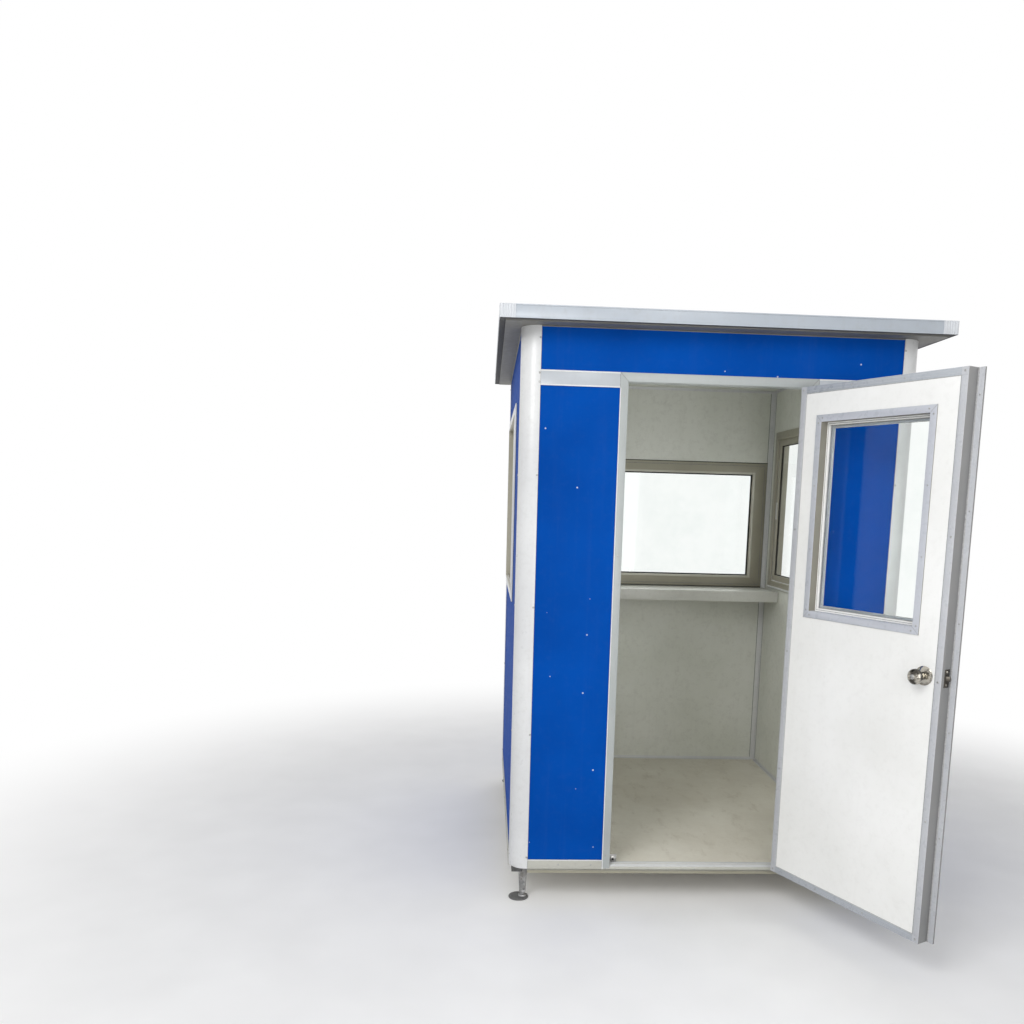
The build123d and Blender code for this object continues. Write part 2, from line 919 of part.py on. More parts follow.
def knob_profile():
    # A straight neck, and a round side that is part of an ellipse, taken in few steps
    points = [(0, 0), (neck_radius, 0), (neck_radius, neck_length)]
    for index in range(knob_steps + 1):
        share = index / knob_steps
        angle = radians(knob_back_angle + share * (knob_face_angle - knob_back_angle))
        points.append((knob_radius * cos(angle), knob_middle + knob_half_depth * sin(angle)))
    points.append((0, points[-1][1]))
    return points


rose_profile = [(neck_bore, 0), (rose_radius, 0), (rose_radius, rose_rim), (neck_bore, rose_height)]
inner_side = Pos(knob_x, leaf_in_y, strike_z) * Rot(-90, 0, 0)
outer_side = Pos(knob_x, leaf_out_y, strike_z) * Rot(90, 0, 0)
knob = turned(knob_profile())
rose = turned(rose_profile)
inside_knob = Pos(0, knob_gap, 0) * inner_side * knob
outside_knob = Pos(0, -knob_gap, 0) * outer_side * knob
spindle_length = leaf_in_y - leaf_out_y + 4 * knob_gap
spindle = Cylinder(spindle_radius, spindle_length)
spindle = Pos(knob_x, leaf_middle_y, strike_z) * Rot(90, 0, 0) * spindle
door_knobs = inside_knob + outside_knob + spindle


# Latch bolt: a bevelled tongue that slides in the latch edge of the door
bolt_tail = 30.0
bolt_nose = 3.0


def latch_bolt():
    tip = door_block_left - bolt_throw
    back = door_block_left + bolt_tail
    y0 = bolt_y - bolt_thickness / 2
    y1 = bolt_y + bolt_thickness / 2
    outline = [(back, y0), (back, y1), (door_block_left, y1), (tip, y0 + bolt_nose), (tip, y0)]
    return along_z(outline, strike_z - bolt_height / 2, strike_z + bolt_height / 2)


# Butt hinges: knuckles on one pin, one leaf on the jamb and one on the door edge
hinge_length = 100.0
hinge_gap = 0.4
pin_radius = 3.0
pin_bore = 3.4
leaf_thickness = 2.0
leaf_reach = 30.0
leaf_root_gap = 2.0
hinge_end_distance = 230.0
hinge_levels = (
    door_low_z + hinge_end_distance,
    (door_low_z + door_high_z) / 2,
    door_high_z - hinge_end_distance,
)
knuckle_length = (hinge_length - 2 * hinge_gap) / 3


def knuckle(z0, z1, radius):
    return Pos(hinge_x, hinge_y, (z0 + z1) / 2) * Cylinder(radius, z1 - z0)


def hinge_leaf(x0, spans, low, high):
    # A plate beside the knuckles, with a tab to each knuckle in spans
    x1 = x0 + leaf_thickness
    plate = block(x0, x1, hinge_y + knuckle_radius + leaf_root_gap, hinge_y + leaf_reach, low, high)
    for z0, z1 in spans:
        plate = plate + block(x0, x1, hinge_y, hinge_y + leaf_reach, z0, z1)
    return plate


def hinge_pair(level):
    low = level - hinge_length / 2
    high = level + hinge_length / 2
    mid_low = low + knuckle_length + hinge_gap
    mid_high = mid_low + knuckle_length
    ends = [(low, mid_low - hinge_gap), (mid_high + hinge_gap, high)]
    fixed = hinge_leaf(opening_right - leaf_thickness, ends, low, high)
    for z0, z1 in ends:
        fixed = fixed + knuckle(z0, z1, knuckle_radius)
    fixed = fixed + knuckle(low, high, pin_radius)
    moving = hinge_leaf(door_block_right, [(mid_low, mid_high)], low, high)
    moving = moving + knuckle(mid_low, mid_high, knuckle_radius)
    moving = moving - knuckle(low - cut_over, high + cut_over, pin_bore)
    return fixed, moving


hinge_pairs = [hinge_pair(level) for level in hinge_levels]
nodes["hinges_frame_side"] = Compound(children=[pair[0] for pair in hinge_pairs])

door_pieces = {
    "door_leaf": door_leaf(),
    "door_latch_stile": latch_stile,
    "door_hinge_stile": hinge_stile,
    "door_rails": Compound(children=[door_bottom_rail, door_top_rail]),
    "door_window_trim": Compound(children=[trim_in, trim_out]),
    "door_window_glass": door_glass,
    "knob_roses": Compound(children=[inner_side * rose, outer_side * rose]),
    "latch_plate": latch_plate,
    "hinges_door_side": Compound(children=[pair[1] for pair in hinge_pairs]),
    "door_knobs": door_knobs,
    "latch_bolt": latch_bolt(),
}
for name, piece in door_pieces.items():
    nodes[name] = door_turn * piece


os.makedirs("parts", exist_ok=True)
for name, shape in nodes.items():
    export_step(shape, "parts/" + name + ".step")
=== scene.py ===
import json
import math
import random

import bmesh
import bpy
from mathutils import Matrix, Vector

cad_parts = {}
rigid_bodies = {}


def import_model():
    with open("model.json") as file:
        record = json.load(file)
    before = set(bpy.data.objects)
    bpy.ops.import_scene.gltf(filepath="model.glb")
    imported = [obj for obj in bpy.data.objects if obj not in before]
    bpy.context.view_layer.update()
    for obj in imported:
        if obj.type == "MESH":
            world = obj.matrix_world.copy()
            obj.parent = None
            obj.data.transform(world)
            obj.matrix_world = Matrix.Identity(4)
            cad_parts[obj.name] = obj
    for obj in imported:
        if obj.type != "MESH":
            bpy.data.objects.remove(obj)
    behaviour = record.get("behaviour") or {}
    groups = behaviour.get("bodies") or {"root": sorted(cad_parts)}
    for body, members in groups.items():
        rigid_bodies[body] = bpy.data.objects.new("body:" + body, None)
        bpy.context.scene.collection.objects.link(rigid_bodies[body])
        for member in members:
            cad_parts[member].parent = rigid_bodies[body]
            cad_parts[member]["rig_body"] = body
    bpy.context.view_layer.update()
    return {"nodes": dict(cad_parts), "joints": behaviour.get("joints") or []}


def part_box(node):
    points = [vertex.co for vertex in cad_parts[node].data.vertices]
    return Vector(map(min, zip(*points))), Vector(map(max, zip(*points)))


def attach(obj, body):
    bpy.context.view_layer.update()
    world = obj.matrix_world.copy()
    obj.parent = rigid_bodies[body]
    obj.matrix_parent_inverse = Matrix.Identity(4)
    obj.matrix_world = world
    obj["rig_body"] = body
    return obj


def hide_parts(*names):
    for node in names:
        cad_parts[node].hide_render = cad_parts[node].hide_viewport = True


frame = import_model()

MM = 0.001
NODES = frame["nodes"]
JOINTS = {joint["name"]: joint for joint in frame["joints"]}


# Places read from the frame
def low(node):
    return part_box(node)[0]


def high(node):
    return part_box(node)[1]


FRONT_Y = low("header_panel").y
INNER_FRONT_Y = high("header_panel").y
REAR_Y = high("wall_rear").y
INNER_REAR_Y = low("wall_rear").y
WALL_X = high("wall_right").x
INNER_X = low("wall_right").x
BODY_Z = low("bottom_rail_front").z
THRESHOLD_LOW_Z = low("post_front_left").z
SOFFIT_Z = high("post_front_left").z
FLOOR_Z = high("floor").z
WALL = INNER_FRONT_Y - FRONT_Y
PANEL_Z = low("wall_rear").z
RAIL_TOP_Z = high("head_rail").z
RAIL_LOW_Z = low("head_rail").z
BOTTOM_RAIL_TOP_Z = high("bottom_rail_front").z
RAIL_END_X = high("bottom_rail_rear").x
CASING_LEFT_X = low("door_jamb_left").x
CASING_RIGHT_X = high("door_jamb_right").x
OPENING_LEFT_X = high("door_jamb_left").x
OPENING_RIGHT_X = low("door_jamb_right").x
PROFILE_SKIN = FRONT_Y - low("post_front_left").y

# The door is described shut, in door coordinates: origin at the hinge pin, +X from hinge to latch,
# +Y from the outer face inwards, +Z up
HINGE = Vector(JOINTS["door_hinge"]["pos_m"])
REST_ANGLE = -math.radians(JOINTS["door_hinge"]["range_deg"][0])
DOOR_TO_WORLD = (
    Matrix.Translation((HINGE.x, HINGE.y, 0))
    @ Matrix.Rotation(REST_ANGLE, 4, "Z")
    @ Matrix.Scale(-1, 4, (1, 0, 0))
)


def points_from(place, node):
    """A node's points in the coordinates of the door or of a face."""
    to_place = place.inverted()
    return [to_place @ v.co for v in NODES[node].data.vertices]


def shut_box(node):
    points = points_from(DOOR_TO_WORLD, node)
    lowest = Vector([min(p[axis] for p in points) for axis in range(3)])
    highest = Vector([max(p[axis] for p in points) for axis in range(3)])
    return lowest, highest


HINGE_EDGE_X = shut_box("door_hinge_stile")[0].x
LATCH_EDGE_X = shut_box("latch_plate")[1].x
LIP_TIP_X = shut_box("door_latch_stile")[1].x
DOOR_LOW_Z = low("door_latch_stile").z
DOOR_HIGH_Z = high("door_latch_stile").z
DOOR_DEPTH = shut_box("door_hinge_stile")[1].y
PANE_LOW, PANE_HIGH = shut_box("door_window_glass")
LOCK_Z = (low("latch_plate").z + high("latch_plate").z) / 2
KNOB_X = sum(v.x for v in shut_box("knob_roses")) / 2
BOLT_Y = sum(v.y for v in shut_box("latch_bolt")) / 2
EDGING = 25 * MM


# Colours
def srgb(*color):
    shares = [value / 255 for value in color]
    return tuple(s / 12.92 if s <= 0.04045 else ((s + 0.055) / 1.055) ** 2.4 for s in shares) + (1.0,)


def grey(value):
    return (value, value, value, 1)


WORLD_LEVEL = 0.52
DUST = srgb(150, 146, 138)
SPECK = srgb(205, 210, 220)


class Nodes:
    """The node tree of a material or of the world."""

    def __init__(self, owner):
        owner.use_nodes = True
        self.tree = owner.node_tree

    def plug(self, socket, value):
        if isinstance(value, bpy.types.NodeSocket):
            self.tree.links.new(value, socket)
        else:
            socket.default_value = value

    def set(self, node, **values):
        """A value is a setting of the node, or what its input of that name gets."""
        for key, value in values.items():
            if hasattr(node, key):
                setattr(node, key, value)
            else:
                self.plug(node.inputs[key.replace("_", " ")], value)

    def add(self, kind, *sources, **values):
        """A new node, with sources for its first inputs in turn."""
        node = self.tree.nodes.new(kind)
        self.set(node, **values)
        for socket, source in zip(node.inputs, sources):
            self.plug(socket, source)
        return node

    def backdrop_level(self):
        """Full white for rays from the camera, a mirror or glass, and the world's level for the rest."""
        path = self.add("ShaderNodeLightPath").outputs
        seen = path["Is Camera Ray"]
        for ray in ("Is Glossy Ray", "Is Transmission Ray"):
            seen = self.add("ShaderNodeMath", seen, path[ray], operation="MAXIMUM").outputs[0]
        level = self.add("ShaderNodeMapRange", Value=seen, To_Min=WORLD_LEVEL, To_Max=1.0)
        return level.outputs["Result"]


class Look(Nodes):
    """A material around the principled shader."""

    def __init__(self, name):
        self.material = bpy.data.materials.new(name)
        super().__init__(self.material)
        self.shader = self.tree.nodes["Principled BSDF"]
        self.place = self.add("ShaderNodeTexCoord").outputs["Object"]

    def noise(self, scale, detail, roughness=0.5, stretch=(1, 1, 1)):
        mapping = self.add("ShaderNodeMapping", Vector=self.place, Scale=stretch)
        grain = self.add("ShaderNodeTexNoise", mapping.outputs["Vector"], Scale=scale)
        self.set(grain, Detail=detail, Roughness=roughness)
        return grain.outputs["Fac"]

    def ramp(self, value, *stops):
        """Two colours, each with its place on the scale."""
        result = self.add("ShaderNodeValToRGB", Fac=value)
        for element, (position, color) in zip(result.color_ramp.elements, stops):
            element.position = position
            element.color = color
        return result.outputs["Color"]

    def fade(self, value, start, stop, first, last):
        """From one grey at start to another at stop."""
        return self.ramp(value, (start, grey(first)), (stop, grey(last)))

    def mix(self, factor, first, second):
        result = self.add("ShaderNodeMix", data_type="RGBA")
        for index, value in ((0, factor), (6, first), (7, second)):
            self.plug(result.inputs[index], value)
        return result.outputs[2]

    def over(self, base, color, value, start, stop, amount):
        """A colour laid over the base where the value is high."""
        return self.mix(self.fade(value, start, stop, 0, amount), base, color)

    def finish(self, base, rough, height, distance, strength=0.5, **values):
        """Feeds the shader, with a bump of the given height, and gives the material."""
        bump = self.add("ShaderNodeBump", Distance=distance, Strength=strength, Height=height)
        self.set(self.shader, Base_Color=base, Roughness=rough, Normal=bump.outputs["Normal"], **values)
        return self.material


def coated(name, color, shade, roughness, dust, streaks=0.0, specks=0.0, gloss=0.5):
    """Coated metal: a body colour with slow tone changes, fine dust, specks and a faint orange peel."""
    look = Look(name)
    fine = look.noise(38.0, 6.0, 0.7)
    base = look.mix(look.fade(look.noise(2.2, 4.0, 0.55), 0.35, 0.68, 0, 1), srgb(*color), srgb(*shade))
    base = look.over(base, DUST, fine, 0.50, 0.80, dust)
    if streaks:
        base = look.over(base, DUST, look.noise(30.0, 4.0, 0.6, (1, 1, 0.04)), 0.55, 0.85, streaks)
    if specks:
        dots = look.add("ShaderNodeTexVoronoi", Vector=look.place, Scale=13.0).outputs["Distance"]
        base = look.mix(look.fade(dots, 0.035, 0.05, specks, 0), base, SPECK)
    rough = look.fade(fine, 0.3, 0.8, roughness * 0.85, min(1, roughness * 1.35))
    peel = look.noise(260.0, 2.0)
    return look.finish(base, rough, peel, 0.12 * MM, Specular_IOR_Level=gloss)


def brushed(name, color, roughness, grain=400.0, stains_and_dark_reflection=0.35, shade=0.78):
    """Drawn metal: fine lines and darker patches, which are stains, and on polished steel a painted dark
    reflection.
    """

    def toned(share):
        return tuple(min(1, c * share) for c in srgb(*color)[:3]) + (1,)

    look = Look(name)
    lines = look.noise(grain, 3.0, 0.6, (1, 1, 0.03))
    patch = look.noise(25.0, 4.0, 0.6)
    base = look.ramp(lines, (0.3, toned(0.78)), (0.7, toned(1.12)))
    base = look.over(base, toned(shade), patch, 0.45, 0.8 - 0.25 * stains_and_dark_reflection, stains_and_dark_reflection)
    rough = look.fade(patch, 0.3, 0.8, roughness * 0.8, min(1, roughness * 1.4))
    return look.finish(base, rough, lines, 0.06 * MM, Metallic=1.0)


def glass_material(name, tint, film_tint):
    """Clear window glass with a faint uneven film; the surface's shine is a coat."""
    look = Look(name)
    base = look.ramp(look.noise(7.0, 6.0, 0.7), (0.40, srgb(*tint)), (0.85, srgb(*film_tint)))
    look.set(look.shader, Base_Color=base, Roughness=0.0, IOR=1.0, Transmission_Weight=1.0, Alpha=0.7)
    look.set(look.shader, Coat_Weight=0.4, Coat_Roughness=0.02, Coat_IOR=1.5)
    return look.material


def galvanised(name):
    look = Look(name)
    flakes = look.add("ShaderNodeTexVoronoi", Vector=look.place, Scale=90.0).outputs["Color"]
    base = look.fade(look.add("ShaderNodeRGBToBW", flakes).outputs["Val"], 0.2, 0.8, 0.26, 0.46)
    dirt = look.noise(30.0, 5.0, 0.7)
    base = look.over(base, srgb(120, 112, 98), dirt, 0.5, 0.75, 0.6)
    return look.finish(base, look.fade(dirt, 0.3, 0.8, 0.42, 0.75), dirt, 0.3 * MM, Metallic=0.75)


def floor_sheet(name):
    look = Look(name)
    scuffs = look.noise(14.0, 8.0, 0.75, (1, 0.45, 1))
    grit = look.noise(220.0, 3.0, 0.8)
    base = look.ramp(look.noise(2.6, 6.0, 0.65), (0.3, srgb(232, 228, 216)), (0.7, srgb(214, 208, 194)))
    base = look.over(base, srgb(176, 166, 148), scuffs, 0.54, 0.72, 0.45)
    base = look.over(base, srgb(140, 130, 115), grit, 0.62, 0.72, 0.4)
    return look.finish(base, look.fade(scuffs, 0.3, 0.8, 0.42, 0.75), grit, 0.2 * MM, 0.4)


def rubber(name, tone, roughness=0.6):
    look = Look(name)
    fine = look.noise(180.0, 4.0, 0.6)
    return look.finish(look.fade(fine, 0.3, 0.8, tone * 0.7, tone * 1.8), roughness, fine, 0.2 * MM)


# Each coat has its colour, a second tone, its roughness, dust and streaks
BLUE = coated("blue_coat", (0, 74, 166), (0, 66, 152), 0.55, 0.02, 0.02, specks=0.8, gloss=0.03)
INNER_WHITE = coated("inner_white", (226, 227, 220), (212, 214, 204), 0.4, 0.25, 0.1)
DOOR_WHITE = coated("door_white", (238, 238, 236), (228, 228, 225), 0.32, 0.1, 0.05)
PROFILE = coated("profile_white", (221, 222, 222), (209, 210, 211), 0.3, 0.18, 0.1)
HEAD_GREY = coated("head_rail_grey", (186, 191, 196), (174, 179, 185), 0.32, 0.15, 0.06)
CASING = coated("casing_grey", (172, 177, 176), (160, 165, 165), 0.34, 0.2, 0.1)
BASE_GREY = coated("bottom_rail_grey", (186, 186, 177), (170, 169, 159), 0.38, 0.4, 0.12)
# Painted shade: the inner faces of the window frames as a darker copy of the white profile, and the ring
# next to the rear pane as a lighter one
INNER_FRAME = coated("inner_frame_painted_shade", (172, 168, 152), (158, 153, 137), 0.34, 0.25, 0.1)
RING_GREY = coated("pane_ring_painted_shade", (204, 202, 190), (190, 187, 174), 0.34, 0.2, 0.1)
STILE = coated("door_stile_grey", (188, 190, 194), (174, 176, 181), 0.28, 0.15, 0.1)
EDGE_GREY = coated("edging_grey", (172, 177, 183), (158, 163, 170), 0.28, 0.15, 0.1)
TRIM_GREY = coated("window_trim_grey", (190, 193, 200), (177, 180, 188), 0.28, 0.15, 0.1)
# Painted shade: a darker grey for the latch-facing edge of the door's edging
EDGE_FACE = coated("edge_face_painted_shade", (136, 136, 136), (122, 123, 123), 0.34, 0.2, 0.12)
# The fascia is painted grey-blue: partly its own tone, partly painted shade
FASCIA = coated("fascia_white_in_painted_shade", (182, 189, 197), (166, 174, 183), 0.34, 0.2, 0.15)
CAP_WHITE = coated("cap_white", (214, 217, 221), (198, 202, 207), 0.36, 0.25, 0.1)
# Painted shade: a darker beige along the foot of the bottom rails
BASE_LOW = coated("drip_flange_painted_shade", (152, 149, 132), (136, 132, 115), 0.45, 0.5, 0.1)
# Painted shade for the underside and latch-facing side of the door window's reveal
REVEAL = coated("reveal_painted_shade", (132, 129, 118), (118, 115, 105), 0.4, 0.2)
# Painted shade: the roof panel's underside and the sealant under it are painted dark grey, as under the
# overhang
SOFFIT = coated("soffit_painted_shade", (118, 117, 112), (104, 103, 99), 0.5, 0.3)
ROOF_WHITE = coated("roof_white", (222, 223, 222), (206, 207, 205), 0.45, 0.4, 0.2)
BOARD = coated("board_white", (212, 212, 206), (200, 200, 193), 0.3, 0.25)
FLOOR = floor_sheet("floor_sheet")
STEEL = brushed("satin_steel", (190, 189, 186), 0.3)
LOCK_STEEL = brushed("lock_steel", (86, 82, 76), 0.34)
# Polished steel: near-black patches over most of it, a painted dark reflection
POLISHED = brushed("polished_steel", (188, 183, 172), 0.1, grain=900.0, stains_and_dark_reflection=0.9, shade=0.06)
GALVANISED = galvanised("galvanised")
ZINC = brushed("zinc_screw", (178, 178, 176), 0.34, grain=700.0)
GLASS = glass_material("window_glass", (247, 252, 249), (236, 244, 240))
SEAL = rubber("black_seal", 0.018)
PAD_RUBBER = rubber("pad_rubber", 0.10, 0.7)
GREY_SEAL = rubber("grey_seal", 0.30, 0.5)
# Near black standing for the shade inside the key and turn slots and the bracket's socket, painted shade
DARK = rubber("hole_painted_shade", 0.010, 0.8)
SEAM_GREY = rubber("seam_grey", 0.22, 0.6)
# Dark grey: painted shade on the fascia's and caps' undersides and on the foot corner blocks, and the own
# colour of the inner corner gaps
DARK_GREY = rubber("gap_and_painted_shade_grey", 0.07, 0.8)


# Mesh helpers
def linked(name, data):
    result = bpy.data.objects.new(name, data)
    bpy.context.scene.collection.objects.link(result)
    return result


def smooth_by_angle(mesh):
    mesh.polygons.foreach_set("use_smooth", [True] * len(mesh.polygons))
    mesh.set_sharp_from_angle(angle=math.radians(40))


def soften(piece, width):
    """Takes the sharp edges off a piece."""
    modifier = piece.modifiers.new("edges", "BEVEL")
    modifier.width = width
    modifier.segments = 3 if width > 1 * MM else 2
    modifier.limit_method = "ANGLE"
    modifier.angle_limit = math.radians(30)
    modifier.use_clamp_overlap = True
    bpy.context.view_layer.update()
    depsgraph = bpy.context.evaluated_depsgraph_get()
    mesh = bpy.data.meshes.new_from_object(piece.evaluated_get(depsgraph))
    piece.modifiers.clear()
    piece.data = mesh


def dress(node, bevel, looks, painter):
    """A copy of a node with softened edges, which stands for it; the painter picks the look of a face."""
    source = NODES[node]
    mesh = source.data.copy()
    mesh.materials.clear()
    cleaner = bmesh.new()
    cleaner.from_mesh(mesh)
    bmesh.ops.remove_doubles(cleaner, verts=cleaner.verts, dist=0.02 * MM)
    flat = math.radians(0.5)
    edges = cleaner.edges
    bmesh.ops.dissolve_limit(cleaner, angle_limit=flat, verts=cleaner.verts, edges=edges, delimit=set())
    cleaner.to_mesh(mesh)
    cleaner.free()
    piece = linked(node + "_look", mesh)
    for item in looks:
        mesh.materials.append(item)
    for polygon in mesh.polygons:
        polygon.material_index = painter(polygon)
    if bevel:
        soften(piece, bevel)
    smooth_by_angle(piece.data)
    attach(piece, source["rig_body"])
    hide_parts(node)


# Painters: each gives the number of a face's look
def plain(polygon):
    return 0


def upward(polygon):
    return int(polygon.normal.z > 0.5)


def downward(polygon):
    return int(polygon.normal.z < -0.5)


def not_upward(polygon):
    return 1 - upward(polygon)


def outward(axis, face, sign):
    """0 on a wall's outer face and 1 on the rest."""
    limit = face - sign * WALL / 2

    def paint(polygon):
        return 0 if sign * (polygon.center[axis] - limit) > 0 and sign * polygon.normal[axis] > 0.5 else 1

    return paint


# The head rail's proud beads are painted PROFILE white, a painted highlight
def proud_of_rail(polygon):
    return int(polygon.center.y < FRONT_Y - BEAD_PROUD)


# Faces inside the booth take the frames' painted shade
def inside_side_walls(polygon):
    return int(abs(polygon.center.x) < WALL_X - WALL / 2)


def rear_frame_look(polygon):
    """Outside, inside in painted shade, and the raised ring next to the pane in a lighter painted shade."""
    if polygon.center.y < low("rear_window_frame").y + 1 * MM:
        return 2
    return int(polygon.center.y < REAR_Y - WALL / 2)


def faces_latch_side(polygon):
    return int(polygon.normal.dot(DOOR_TO_WORLD.to_3x3() @ Vector((1, 0, 0))) > 0.7)


def window_trim_look(polygon):
    """On the door's trim: the ring, the glazing bead painted bright white as a painted highlight, and the
    reveal's lower and latch-side faces in painted shade.
    """
    depth = (DOOR_TO_WORLD.inverted() @ polygon.center).y
    if PANE_HIGH.y - 0.5 * MM < depth < PANE_HIGH.y + BEAD_DEPTH and polygon.normal.z > -0.5:
        return 1
    return 2 if depth > PANE_HIGH.y and (downward(polygon) or faces_latch_side(polygon)) else 0


BEAD_PROUD = 4 * MM
BEAD_DEPTH = 9 * MM

# Looks of the CAD nodes: under a slot and a bevel in millimetres, the nodes, their looks and the painter
WALL_LOOKS = [BLUE, INNER_WHITE]
RAIL_LOOKS = [BASE_GREY, PROFILE]
FRAME_LOOKS = [PROFILE, INNER_FRAME]
WALL_NODES = (
    ("front_panel_left front_panel_right header_panel", WALL_LOOKS, outward(1, FRONT_Y, -1)),
    ("wall_rear", WALL_LOOKS, outward(1, REAR_Y, 1)),
    ("wall_left", WALL_LOOKS, outward(0, -WALL_X, -1)),
    ("wall_right", WALL_LOOKS, outward(0, WALL_X, 1)),
)
WHITE_PANELS = (
    ("door_leaf", [DOOR_WHITE], plain),
    # The roof panel's faces other than its top are painted SOFFIT, painted shade
    ("roof_panel", [ROOF_WHITE, SOFFIT], not_upward),
)
BOOTH_PROFILES = (
    ("post_front_left post_front_right post_rear_left post_rear_right", [PROFILE], plain),
    ("bottom_rail_front bottom_rail_rear bottom_rail_left bottom_rail_right", RAIL_LOOKS, plain),
    # The threshold's top faces are painted PROFILE white as a painted highlight, the rest BASE_GREY
    ("threshold", RAIL_LOOKS, upward),
    ("door_jamb_left door_jamb_right door_head", [CASING], plain),
    # Painted highlight: the rail's proud beads in PROFILE white
    ("head_rail", [HEAD_GREY, PROFILE], proud_of_rail),
    ("side_window_frame_left side_window_sashes_left", FRAME_LOOKS, inside_side_walls),
    ("side_window_frame_right side_window_sashes_right", FRAME_LOOKS, inside_side_walls),
    ("rear_window_frame", FRAME_LOOKS + [RING_GREY], rear_frame_look),
    ("skirting_trim ceiling_trim", [PROFILE], plain),
)
DOOR_PROFILES = (
    # The latch stile's faces towards the latch side are painted EDGE_FACE, painted shade
    ("door_latch_stile", [STILE, EDGE_FACE], faces_latch_side),
    ("door_hinge_stile", [STILE], plain),
    ("door_rails", [EDGE_GREY], plain),
    # The trim's bead is painted DOOR_WHITE as a painted highlight, its reveal REVEAL as painted shade
    ("door_window_trim", [TRIM_GREY, DOOR_WHITE, REVEAL], window_trim_look),
)
# The downward faces of the fascia and the corner caps are painted DARK_GREY, painted shade
ROOF_EDGES = (
    ("roof_fascia", [FASCIA, DARK_GREY], downward),
    ("roof_corner_caps", [CAP_WHITE, DARK_GREY], downward),
)
METAL_NODES = (
    ("latch_plate latch_bolt", [LOCK_STEEL], plain),
    ("strike_plate hinges_frame_side hinges_door_side", [STEEL], plain),
)
PANES = "rear_window_glass side_window_glass_left side_window_glass_right door_window_glass"
NODE_LOOKS = (
    ("blue_panel", 0, WALL_NODES),
    ("white_panel", 0, WHITE_PANELS),
    ("white_profile", 0.7, BOOTH_PROFILES),
    ("white_profile", 0.6, DOOR_PROFILES),
    ("white_fascia", 0.6, ROOF_EDGES),
    ("white_board", 1.2, (("counter", [BOARD], plain),)),
    ("floor_board", 0, (("floor", [FLOOR], plain),)),
    ("polished_steel", 0.3, (("door_knobs knob_roses", [POLISHED], plain),)),
    ("satin_steel", 0.3, METAL_NODES),
    ("glass", 0, ((PANES, [GLASS], plain),)),
)

for slot, bevel, rows in NODE_LOOKS:
    for names, looks, painter in rows:
        for node in names.split():
            dress(node, bevel * MM, looks, painter)


# Faces that small pieces sit on: X across, Y up, Z out of the face
def facing(origin, out, up=(0, 0, 1)):
    z_axis = Vector(out).normalized()
    y_axis = Vector(up)
    x_axis = y_axis.cross(z_axis)
    turn = Matrix((x_axis, y_axis, z_axis)).transposed().to_4x4()
    return Matrix.Translation(origin) @ turn


def door_facing(x, y, out):
    """The same on the door, from a point and a direction in door coordinates."""
    return facing(DOOR_TO_WORLD @ Vector((x, y, 0)), DOOR_TO_WORLD.to_3x3() @ Vector(out))


FRONT = facing((0, FRONT_Y, 0), (0, -1, 0))
REAR = facing((0, REAR_Y, 0), (0, 1, 0))
LEFT = facing((-WALL_X, 0, 0), (-1, 0, 0))
RIGHT = facing((WALL_X, 0, 0), (1, 0, 0))
INSIDE_FRONT = facing((0, INNER_FRONT_Y, 0), (0, 1, 0))
INSIDE_REAR = facing((0, INNER_REAR_Y, 0), (0, -1, 0))
INSIDE_LEFT = facing((-INNER_X, 0, 0), (1, 0, 0))
INSIDE_RIGHT = facing((INNER_X, 0, 0), (-1, 0, 0))
SIDES = ((LEFT, -1), (RIGHT, 1))
WINDOW_SIDES = (("left", INSIDE_LEFT, LEFT), ("right", INSIDE_RIGHT, RIGHT))
ROOF_TOP = facing((0, 0, high("roof_panel").z), (0, 0, 1), up=(0, 1, 0))
DOOR_IN = door_facing(0, DOOR_DEPTH, (0, 1, 0))
DOOR_OUT = door_facing(0, 0, (0, -1, 0))
DOOR_EDGE = door_facing(LATCH_EDGE_X, 0, (1, 0, 0))


# Outlines given in millimetres
def scaled(*points):
    return [(x * MM, z * MM) for x, z in points]


# Sections of small bars, in millimetres: points across the face and out of it
def flat_section(width, height, edge=0.4):
    half = width / 2
    top = height - edge
    flat = half - edge
    return scaled((-half, 0), (-half, top), (-flat, height), (flat, height), (half, top), (half, 0))


def round_section(width, height, steps=6):
    angles = [math.pi * index / steps for index in range(steps + 1)]
    return scaled(*[(-width / 2 * math.cos(a), height * math.sin(a)) for a in angles])


def shifted(section, across, out=0.0):
    return [(x + across, z + out) for x, z in section]


def corners(box):
    """The corners of a box (x0, x1, z0, z1), each with the two directions that lead outwards."""
    x0, x1, z0, z1 = box
    return (x0, z0, -1, -1), (x1, z0, 1, -1), (x1, z1, 1, 1), (x0, z1, -1, 1)


def around(x, z, half_width, half_height):
    return x - half_width, x + half_width, z - half_height, z + half_height


